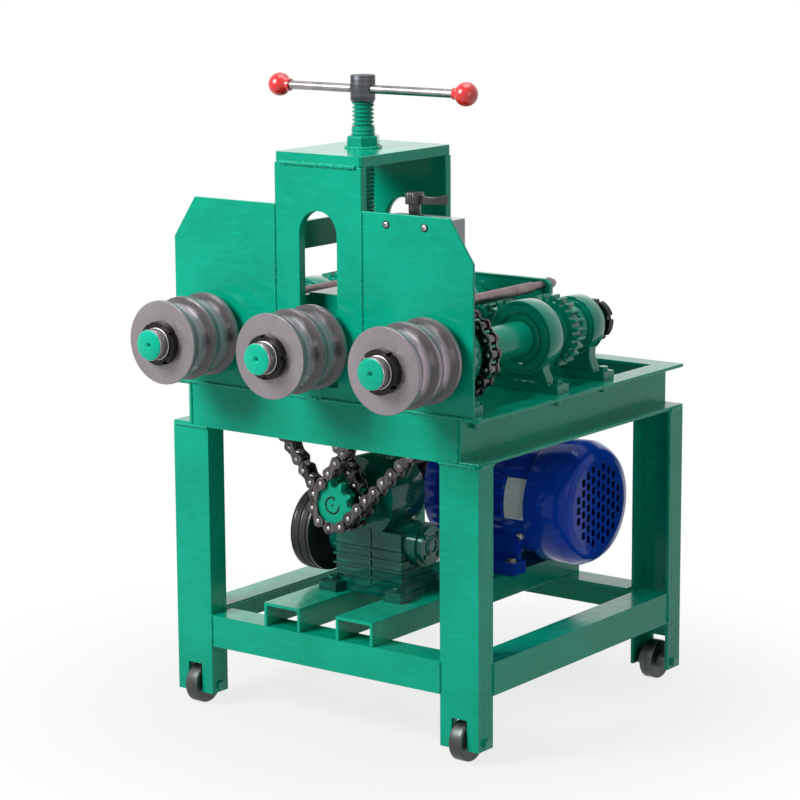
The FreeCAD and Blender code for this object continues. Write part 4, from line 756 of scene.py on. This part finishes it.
# ---- weld seams
def weld_seams():
    """Beads along the joints of the stand, the base and the press frame."""
    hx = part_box("upright_front")[1].x
    rear, back = (p.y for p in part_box("upright_rear"))
    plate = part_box("front_plate_right")[1]
    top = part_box("top_plate")[0].z
    front = FRONT - 0.0002
    bracket0, bracket1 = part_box("idler_bracket")
    strap0, strap1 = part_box("tie_straps")
    seams = []

    def across(tag, x0, x1, y, z, r):
        seams.append((tag, (x0, y, z), (x1, y, z), r))

    def upward(tag, x, y, z0, z1, r):
        seams.append((tag, (x, y, z0), (x, y, z1), r))

    across("top_front", -hx + 0.012, hx - 0.012, front + 0.0004, top, 0.0046)
    across("top_rear", -hx + 0.012, hx - 0.012, back - 0.0004, top, 0.0042)
    across("base_left", -plate.x, -0.004, front - 0.0002, BASE, 0.0030)
    across("base_right", 0.004, plate.x, front - 0.0002, BASE, 0.0030)
    across("rear_upright", -hx, hx, rear - 0.0015, BASE + 0.0018, 0.0038)
    across("rear_back", -hx, hx, back + 0.0015, BASE + 0.0018, 0.0038)
    across("bracket", bracket0.x, bracket1.x, bracket1.y + 0.0014, BASE + 0.0016, 0.0036)
    for s, side in SIDES:
        upward("upright_" + side, s * (hx + 0.0006), front, BASE + 0.004, plate.z - 0.002, 0.0026)
        upward("behind_" + side, s * (hx + 0.002), FRONT + 0.0075, BASE + 0.004, plate.z - 0.004, 0.0032)
        x = s * (strap1.x + 0.0003)
        upward("strap_%s_front" % side, x, strap0.y + 0.0006, strap0.z, strap1.z, 0.003)
        upward("strap_%s_rear" % side, x, strap1.y - 0.0006, strap0.z, strap1.z, 0.003)
        edge, inner = s * STAND_X, s * (STAND_X - WEB)
        for y, end, k in ((FRONT, "front", 1), (FRONT + STAND_Y, "rear", -1)):
            tag = "%s_%s" % (side, end)
            y0 = y - k * 0.0004
            across("leg_top_" + tag, edge - s * 0.004, inner, y0, LEG_TOP, 0.0032)
            x = edge + s * 0.0004
            seams.append(("leg_side_" + tag, (x, y + k * 0.004, LEG_TOP), (x, y + k * 0.041, LEG_TOP),
                          0.0032))
            upward("rail_" + tag, inner - s * 0.0005, y0, RAIL_LOW, RAIL_TOP, 0.003)
            upward("side_rail_" + tag, edge + s * 0.0003, y + k * 0.0435, RAIL_LOW, RAIL_TOP, 0.003)
            upward("corner_" + tag, s * 0.290, y0, LEG_TOP + 0.004, BASE - 0.004, 0.0026)
    for i, (tag, a, b, r) in enumerate(seams):
        weld_bead("weld_" + tag, (a, b), r, i)
    lo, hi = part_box("press_nut")
    x, y, _ = middle(lo, hi)
    loop = [(x + a, y + b, lo.z + 0.0012) for a, b in (polar(0.0295, turn) for turn in range(0, 361, 15))]
    weld_bead("weld_press_nut", loop, 0.0034, 60)


# ---- fasteners
def bolts():
    """Real hexagon bolts with washers over the plain fasteners of the frame."""
    frame_bolts, motor_bolts, box_bolts, studs, screws, washers_and_slot_shade = (bmesh.new() for _ in range(6))
    foot, under = BASE + 0.016, BASE - 0.006
    ring_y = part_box("ring_bearings")[0].y + 0.022
    pillow_y = middle(*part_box("pillow_blocks"))[1]
    spots = [(k * 0.061, pillow_y) for k in (-1, 1)]
    for s in (-1, 1):
        for k in (-1, 1):
            spots += [(s * PITCH + k * 0.065, ring_y), (s * PITCH + k * 0.061, pillow_y),
                      (s * PITCH + k * 0.063, FRONT + 0.036)]
    stud_end = [(0, -0.0165), (0.0038, -0.0165), (0.0048, -0.0155), (0.0048, -0.008), (0, -0.008)]
    for x, y in spots:
        foot_bolt_into(frame_bolts, x, y, foot)
        if abs(x) > 0.29:        # over the flanges of the side beams, where the nut shows from below
            hex_bolt_into(studs, (x, y, under), "z", HEAD_R, 0.0066, WASHER_R, -1)
            lathe_into(studs, stud_end, (x, y, under), "z", 20)
    for s in (-1, 1):
        for k in (-1, 1):
            foot_bolt_into(box_bolts, BOX_X + s * BOX_BOLT_X, WORM_Y + k * BOX_BOLT_Y, BEAM_TOP + BOX_FOOT)
            foot_bolt_into(motor_bolts, MOTOR_FOOT_X + s * MOTOR_BOLT_X, MOTOR_Y + k * MOTOR_BOLT_Y,
                           BEAM_TOP + MOTOR_FOOT, 0.0115)
    head = [(0, 0.0028), (0.0048, 0.0025), (0.0048, 0.0016), (0.0040, 0.0006), (0.0024, 0.0001), (0.0, 0.0)]
    washer = [(0.0044, 0.0030), (0.0068, 0.0030), (0.0068, 0.0020), (0.0062, 0.0016), (0.0044, 0.0016)]
    for x in SWITCH_SCREWS:
        at = (x, FRONT - 0.003, SWITCH_SCREW_Z)
        lathe_into(screws, head, at, "y", 28)
        lathe_into(washers_and_slot_shade, washer, at, "y", 28)
        # The dark cross set on each screw head is painted shade of its cross slot.
        for wide, high in ((0.0052, 0.0013), (0.0013, 0.0052)):        # cross slot
            box_into(washers_and_slot_shade, (x, FRONT - 0.0029, SWITCH_SCREW_Z), (wide, 0.0006, high))
    made = [mesh_object("bearing_bolts", frame_bolts, CASTING, smooth=False, bevel=0.0004),
            mesh_object("motor_bolts", motor_bolts, BOLT, smooth=False, bevel=0.0004),
            mesh_object("gearbox_bolts", box_bolts, GREEN_DARK, smooth=False, bevel=0.0004),
            mesh_object("switch_screws", screws, SCREW),
            mesh_object("switch_screw_washers", washers_and_slot_shade, NUT)]
    for ob in made:
        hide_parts("fasteners")
    mesh_object("flange_nuts", studs, CASTING, smooth=False, bevel=0.0004)


def press_nut():
    """Hexagon nut welded to the top plate, with a threaded neck above it."""
    lo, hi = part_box("press_nut")
    x, y, _ = middle(lo, hi)
    h, r = hi.z - lo.z, (hi.x - lo.x) / 2
    bore, neck, top, pitch = 0.0192, 0.0196, 0.0215, 0.0070
    bm = bmesh.new()
    rings = []
    steps = ((r * 0.985, 0.0), (r, 0.002), (r, top - 0.003), (r * 0.93, top), (0.0200, top + 0.0006))
    for wide, z in steps:
        corners = [polar(wide, 60 * k) for k in range(6)]
        rings.append([bm.verts.new((x + a, y + b, lo.z + z)) for a, b in corners])
    skin(bm, rings, False)
    prof = [(bore, 0.001), (neck, 0.001), (neck, top)]
    z = top
    while z + 0.0068 < h:
        prof += [(0.0198, z + 0.0010), (0.0208, z + 0.0022), (0.0208, z + 0.0042), (0.0198, z + 0.0054)]
        z += pitch
    prof += [(0.0200, h - 0.0008), (neck, h), (bore, h)]
    lathe_into(bm, prof, (x, y, lo.z), "z", 48, True)
    ob = mesh_object("press_nut_welded", bm, THREAD, bevel=0.0007, angle=28)
    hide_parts("press_nut")


# ---- bearings and gearbox
def bearing_faces():
    """Turned steps on the ring housings and cones on the pillow blocks."""
    ring_y, pillow_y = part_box("ring_bearings")[0].y + 0.004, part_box("pillow_blocks")[0].y
    r = FULL_R + 0.0018
    rim = [(0.0575, 0.0), (0.0579, -0.0022), (0.0588, -0.0028), (0.0632, -0.0028), (0.0644, -0.0020),
           (0.0648, 0.0)]
    race = [(r, 0.0), (r, -0.0030), (r + 0.0006, -0.0034), (0.0385, -0.0034), (0.0392, -0.0028),
            (0.0394, 0.0)]
    cone = [(0.0475, 0.0), (0.0470, -0.0030), (0.0455, -0.0036), (0.0400, -0.0036), (0.0388, -0.0044),
            (0.0352, -0.0116), (0.0344, -0.0120), (r + 0.0008, -0.0120), (r, -0.0112), (r, 0.0)]
    for side, _, x in BODIES[:2]:
        lathe("ring_rim_" + side, rim, (x, ring_y, ZS), "y", CASTING)
        lathe("ring_race_" + side, race, (x, ring_y, ZS), "y", CASTING, segs=64)
    for side, _, x in BODIES[:2]:
        lathe("pillow_cone_" + side, cone, (x, pillow_y, ZS), "y", CASTING, segs=64)


def bearing_webs():
    """Cast flanks between the feet and the rings."""
    bm = bmesh.new()
    ring0, ring1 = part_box("ring_bearings")
    pil0, pil1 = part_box("pillow_blocks")
    spots = [(x, ring0.y + 0.011, ring1.y - 0.007, 0.052, 0.058) for _, _, x in BODIES[:2]]
    spots += [(x, pil0.y + 0.006, pil1.y - 0.006, 0.047, 0.066) for _, _, x in BODIES]
    low = 0.0155
    for x, y0, y1, wide, up in spots:
        half = [(wide, low), (wide - 0.004, low + 0.010), (wide * 0.80, up * 0.62), (wide * 0.84, up)]
        outline = [(-wide, low)] + half + [(-a, b) for a, b in reversed(half[1:])]
        prism_into(bm, outline, (x, y1, BASE), (1, 0, 0), (0, 0, 1), (0, -1, 0), y1 - y0)
    mesh_object("bearing_webs", bm, CASTING, smooth=False, bevel=0.0015)


def output_face():
    """Retaining ring on the end of the gearbox shaft, and a dark dot on its centre as painted shade of the
    centre hole.
    """
    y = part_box("chain_right")[0].y + CHAIN_HALF + 2 * LINK_WALL - SPROCKET_HALF
    r_out, r_in, steps = 0.0158, 0.0132, 28
    turns = [75 + 285 * k / steps for k in range(steps + 1)]
    out, inn = [polar(r_out, a) for a in turns], [polar(r_in, a) for a in turns]
    quads = [[out[k], out[k + 1], inn[k + 1], inn[k]] for k in range(steps)]
    quads.append([polar(r_out, 66), out[0], polar(0.0095, 75), polar(0.0090, 66)])        # its hook
    bm = bmesh.new()
    for quad in quads:
        prism_into(bm, quad, (OUT_X, y + 0.0002, OUT_Z), (1, 0, 0), (0, 0, 1), (0, -1, 0), 0.0010)
    # Painted shade: a dark cone stands in for the shaded centre hole.
    lathe_into(bm, [(0, -0.0006), (0.0016, -0.0006), (0.0024, 0.0002)], (OUT_X, y, OUT_Z), "y", 20)
    mesh_object("output_retaining_ring", bm, NUT, "output", smooth=False)


def gearbox_details():
    """Cover bolts, a seal ring and a casting line on the gearbox."""
    bm = bmesh.new()
    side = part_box("gearbox_case")[1].x
    worm_z = middle(*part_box("worm_pulley"))[2]
    for k in range(4):
        a, b = polar(0.026, 45 + 90 * k)
        hex_bolt_into(bm, (side, WORM_Y + a, worm_z + b), "x", CAP_R, CAP_H)
    seal = [(0.0120, 0.0), (0.0120, 0.0022), (0.0160, 0.0026), (0.0185, 0.0018), (0.0190, 0.0)]
    lathe_into(bm, seal, (side, WORM_Y, worm_z), "x", 40)
    for k in range(6):
        a, b = polar(0.0375, 30 + 60 * k)
        hex_bolt_into(bm, (OUT_X + a, WORM_Y - 0.056, OUT_Z + b), "y", CAP_R, CAP_H, 0, -1)
    mesh_object("gearbox_cover_bolts", bm, GREEN_DARK, smooth=False, bevel=0.0003)
    seam = bmesh.new()
    box_into(seam, (BOX_X + 0.004, WORM_Y - 0.0485, 0.285), (0.005, 0.004, 0.10))
    mesh_object("gearbox_joint", seam, GREEN_DARK, smooth=False, bevel=0.0006)


# ---- motor
def turned_at(bm, profile, at, way, segs):
    """Adds a turned solid whose axis points any way."""
    part = bmesh.new()
    lathe_into(part, profile, (0, 0, 0), "z", segs)
    turn = Vector((0, 0, 1)).rotation_difference(Vector(way).normalized()).to_matrix().to_4x4()
    turn.translation = Vector(at)
    bmesh.ops.transform(part, matrix=turn, verts=part.verts)
    me = bpy.data.meshes.new("part")
    part.to_mesh(me)
    part.free()
    bm.from_mesh(me)
    bpy.data.meshes.remove(me)


def motor_details():
    """Blank plate, rivets, earth screw and lifting eye of the motor."""
    _, my, mz = middle(*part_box("fan_cover"))
    (x0, x1), (a0, a1) = PLATE_X, PLATE_ARC
    r, steps = MOTOR_R - 0.003, 12

    def at(x, angle, radius):
        c, s = polar(radius, angle)
        return Vector((x, my - c, mz + s))

    bm, small = bmesh.new(), bmesh.new()
    turns = [a0 + (a1 - a0) * k / steps for k in range(steps + 1)]
    corners = ((x0, r), (x0, r + PLATE_WALL), (x1, r + PLATE_WALL), (x1, r))
    rows = [[bm.verts.new(at(x, a, q)) for a in turns] for x, q in corners]
    for a, b in zip(rows, rows[1:] + rows[:1]):
        for k in range(steps):
            bm.faces.new((a[k], a[k + 1], b[k + 1], b[k]))
    for k in (0, steps):
        bm.faces.new([row[k] for row in rows])
    mesh_object("motor_blank_plate", bm, PLATE)
    dome = [(0.0022, 0.0), (0.0020, 0.0009), (0.0012, 0.0015), (0, 0.0017)]
    for x in (x0 + 0.004, x1 - 0.004):
        for a in (a0 + 2.2, a1 - 2.2):
            turned_at(small, dome, at(x, a, r + 0.0010), at(0, a, 1) - at(0, a, 0), 14)
    screw = [(0.0085, 0.0), (0.0085, 0.0016), (0.0062, 0.0017), (0.0060, 0.0045), (0.0046, 0.0060),
             (0.0012, 0.0062), (0.0, 0.0052)]
    turned_at(small, screw, at(0.129, -33, r), at(0, -33, 1) - at(0, -33, 0), 28)
    mesh_object("motor_small_screws", small, SCREW)
    eye = bmesh.new()
    ring_r, wire_r, high = 0.0108, 0.0052, mz + MOTOR_R + 0.007
    rings = []
    for k in range(28):
        t = k * math.tau / 28
        ring = []
        for j in range(14):
            u = j * math.tau / 14
            reach = ring_r + wire_r * math.cos(u)
            ring.append(eye.verts.new((EYE_X + wire_r * math.sin(u), my + reach * math.cos(t),
                                       high + reach * math.sin(t))))
        rings.append(ring)
    skin(eye, rings + rings[:1], False)
    stem = [(0, -0.006), (0.0098, -0.006), (0.0098, -0.002), (0.0070, 0.0), (0.0050, 0.002), (0, 0.002)]
    lathe_into(eye, stem, (EYE_X, my, mz + MOTOR_R - 0.0035), "z", 24)
    mesh_object("motor_lifting_eye", eye, ORANGE)


# ---- switch
def switch_lever():
    """Round hub with a finger grip and a curved blade."""
    lo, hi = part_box("switch_lever")
    y, r, h = (lo.y + hi.y) / 2, (hi.y - lo.y) / 2, hi.z - lo.z
    x, cap, stem = lo.x + r, 0.0197, 0.0104
    bm = bmesh.new()
    profile = [(0, 0), (stem - 0.0004, 0), (stem, 0.0005), (stem, cap + 0.001), (0, cap + 0.001)]
    lathe_into(bm, profile, (x, y, lo.z), "z", 40)
    rings, ribs = [], 96
    for scale, z in ((0.95, cap), (1.0, cap + 0.001), (1.0, h - 0.0025), (0.90, h)):
        ring = []
        for k in range(ribs):
            dent = 1.0 - 0.035 * (k % 4 in (1, 2))
            t = math.radians(360 / ribs * k)
            wide = r * scale * dent
            ring.append(bm.verts.new((x + wide * math.cos(t), y + wide * math.sin(t), lo.z + z)))
        rings.append(ring)
    skin(bm, rings)
    n, root = 16, 0.008
    length = hi.x - x - root
    rows = []
    for k in range(n + 1):
        f = k / n
        bow = math.sin(math.pi * f)
        bend = -0.0075 * bow + 0.0015 * f
        half, low, top = 0.0034 - 0.0010 * f, cap + 0.0012 + 0.002 * f, h - 0.0012 - 0.0040 * bow
        section = ((-half, low), (half, low), (half, top - 0.001), (half * 0.6, top), (-half * 0.6, top),
                   (-half, top - 0.001))
        px = x + root + length * f
        rows.append([bm.verts.new((px, y + bend + a, lo.z + b)) for a, b in section])
    skin(bm, rows)
    ob = mesh_object("switch_grip", bm, BLACK, "lever", bevel=0.0005)
    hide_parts("switch_lever")


def switch_details():
    """Raised lid, gland and collar of the switch box."""
    lo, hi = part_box("switch_box")
    x, y, z = middle(lo, hi)
    bm = bmesh.new()
    box_into(bm, (x, hi.y + 0.0009, z), (hi.x - lo.x - 0.010, 0.0024, hi.z - lo.z - 0.010))
    mesh_object("switch_lid", bm, GREY, smooth=False, bevel=0.0008)
    bm = bmesh.new()
    gland = [(0.0055, 0.0), (0.0105, 0.0), (0.0105, -0.007), (0.0085, -0.008), (0.0085, -0.015),
             (0.0060, -0.017), (0.0055, -0.010)]
    lathe_into(bm, gland, (lo.x + 0.030, y, lo.z), "z", 32)
    mesh_object("switch_gland", bm, BLACK)
    bm = bmesh.new()
    collar = [(0.0125, 0.0), (0.0175, 0.0), (0.0168, 0.0014), (0.0125, 0.0016)]
    lathe_into(bm, collar, (SWITCH_X, middle(*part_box("switch_lever"))[1], hi.z - 0.0012), "z", 36)
    mesh_object("switch_collar", bm, BLACK)


for make in (press_screw, press_nut, ball_knobs, rollers, shafts, chains, weld_seams, bolts, bearing_faces,
             bearing_webs, output_face, gearbox_details, motor_details, switch_lever, switch_details):
    make()


# ---- floor and light
def seen_rays(t):
    """1 on camera, glossy and transmission rays, 0 on all others."""
    path = t.nodes.new("ShaderNodeLightPath")
    total = path.outputs["Is Camera Ray"]
    for kind in ("Is Glossy Ray", "Is Transmission Ray"):
        most = t.nodes.new("ShaderNodeMath")
        most.operation = "MAXIMUM"
        t.links.new(total, most.inputs[0])
        t.links.new(path.outputs[kind], most.inputs[1])
        total = most.outputs[0]
    return total


def mixed(t, share, first, second, output):
    """Mixes two shaders into the output of a node tree."""
    mix = t.nodes.new("ShaderNodeMixShader")
    t.links.new(share, mix.inputs[0])
    t.links.new(first.outputs[0], mix.inputs[1])
    t.links.new(second.outputs[0], mix.inputs[2])
    t.links.new(mix.outputs[0], t.nodes.new(output).inputs[0])


def floor(half_side=14.0, grey=0.55, fade_from=0.35, fade_to=1.05, least_white=0.80):
    """A pale floor that takes the shadow and fades to white away from it."""
    s = half_side
    me = bpy.data.meshes.new("floor")
    me.from_pydata([(-s, -s, 0), (s, -s, 0), (s, s, 0), (-s, s, 0)], [], [(0, 1, 2, 3)])
    ob = bpy.data.objects.new("floor", me)
    scene.collection.objects.link(ob)
    m = bpy.data.materials.new("floor_paper")
    m.use_nodes = True
    t = m.node_tree
    t.nodes.clear()
    paper = t.nodes.new("ShaderNodeBsdfPrincipled")
    paper.inputs["Base Color"].default_value = (grey, grey, grey, 1)
    paper.inputs["Roughness"].default_value = 0.8
    paper.inputs["Specular IOR Level"].default_value = 0.0
    white = t.nodes.new("ShaderNodeEmission")
    white.inputs["Color"].default_value = (1, 1, 1, 1)
    white.inputs["Strength"].default_value = 1.0
    where = t.nodes.new("ShaderNodeTexCoord")
    dist = t.nodes.new("ShaderNodeVectorMath")
    dist.operation = "LENGTH"
    t.links.new(where.outputs["Object"], dist.inputs[0])
    fade = t.nodes.new("ShaderNodeMapRange")
    fade.interpolation_type = "SMOOTHSTEP"
    limits = (("From Min", fade_from), ("From Max", fade_to), ("To Min", least_white), ("To Max", 1.0))
    for k, v in limits:
        fade.inputs[k].default_value = v
    t.links.new(dist.outputs["Value"], fade.inputs["Value"])
    share = t.nodes.new("ShaderNodeMath")
    share.operation = "MULTIPLY"
    t.links.new(fade.outputs[0], share.inputs[0])
    t.links.new(seen_rays(t), share.inputs[1])
    mixed(t, share.outputs[0], paper, white, "ShaderNodeOutputMaterial")
    me.materials.append(m)


def area(name, at, target, side, power):
    """Square lamp that looks at a target."""
    lamp = bpy.data.lights.new(name, "AREA")
    lamp.shape = "RECTANGLE"
    lamp.size, lamp.size_y = side, side
    lamp.energy = power
    ob = bpy.data.objects.new(name, lamp)
    scene.collection.objects.link(ob)
    ob.location = at
    ob.rotation_euler = (Vector(target) - Vector(at)).to_track_quat("-Z", "Y").to_euler()


def world(sky=(0.90, 0.94, 1.0), strength=0.15):
    """Soft sky light behind a white background."""
    w = bpy.data.worlds.new("world")
    scene.world = w
    w.use_nodes = True
    t = w.node_tree
    t.nodes.clear()
    layers = []
    for colour, power in ((sky, strength), ((1, 1, 1), 1.0)):
        layer = t.nodes.new("ShaderNodeBackground")
        layer.inputs[0].default_value = (*colour, 1)
        layer.inputs[1].default_value = power
        layers.append(layer)
    mixed(t, seen_rays(t), *layers, "ShaderNodeOutputWorld")


floor()
world()
area("key", (-1.2, -2.5, 2.5), (0, 0, 0.75), 1.5, 118)
area("side", (3.2, -1.4, 1.6), (0, 0, 0.5), 1.6, 12)
area("top", (0.1, 0.2, 3.2), (0, 0, 0.6), 1.8, 34)

scene.view_settings.view_transform = "Standard"
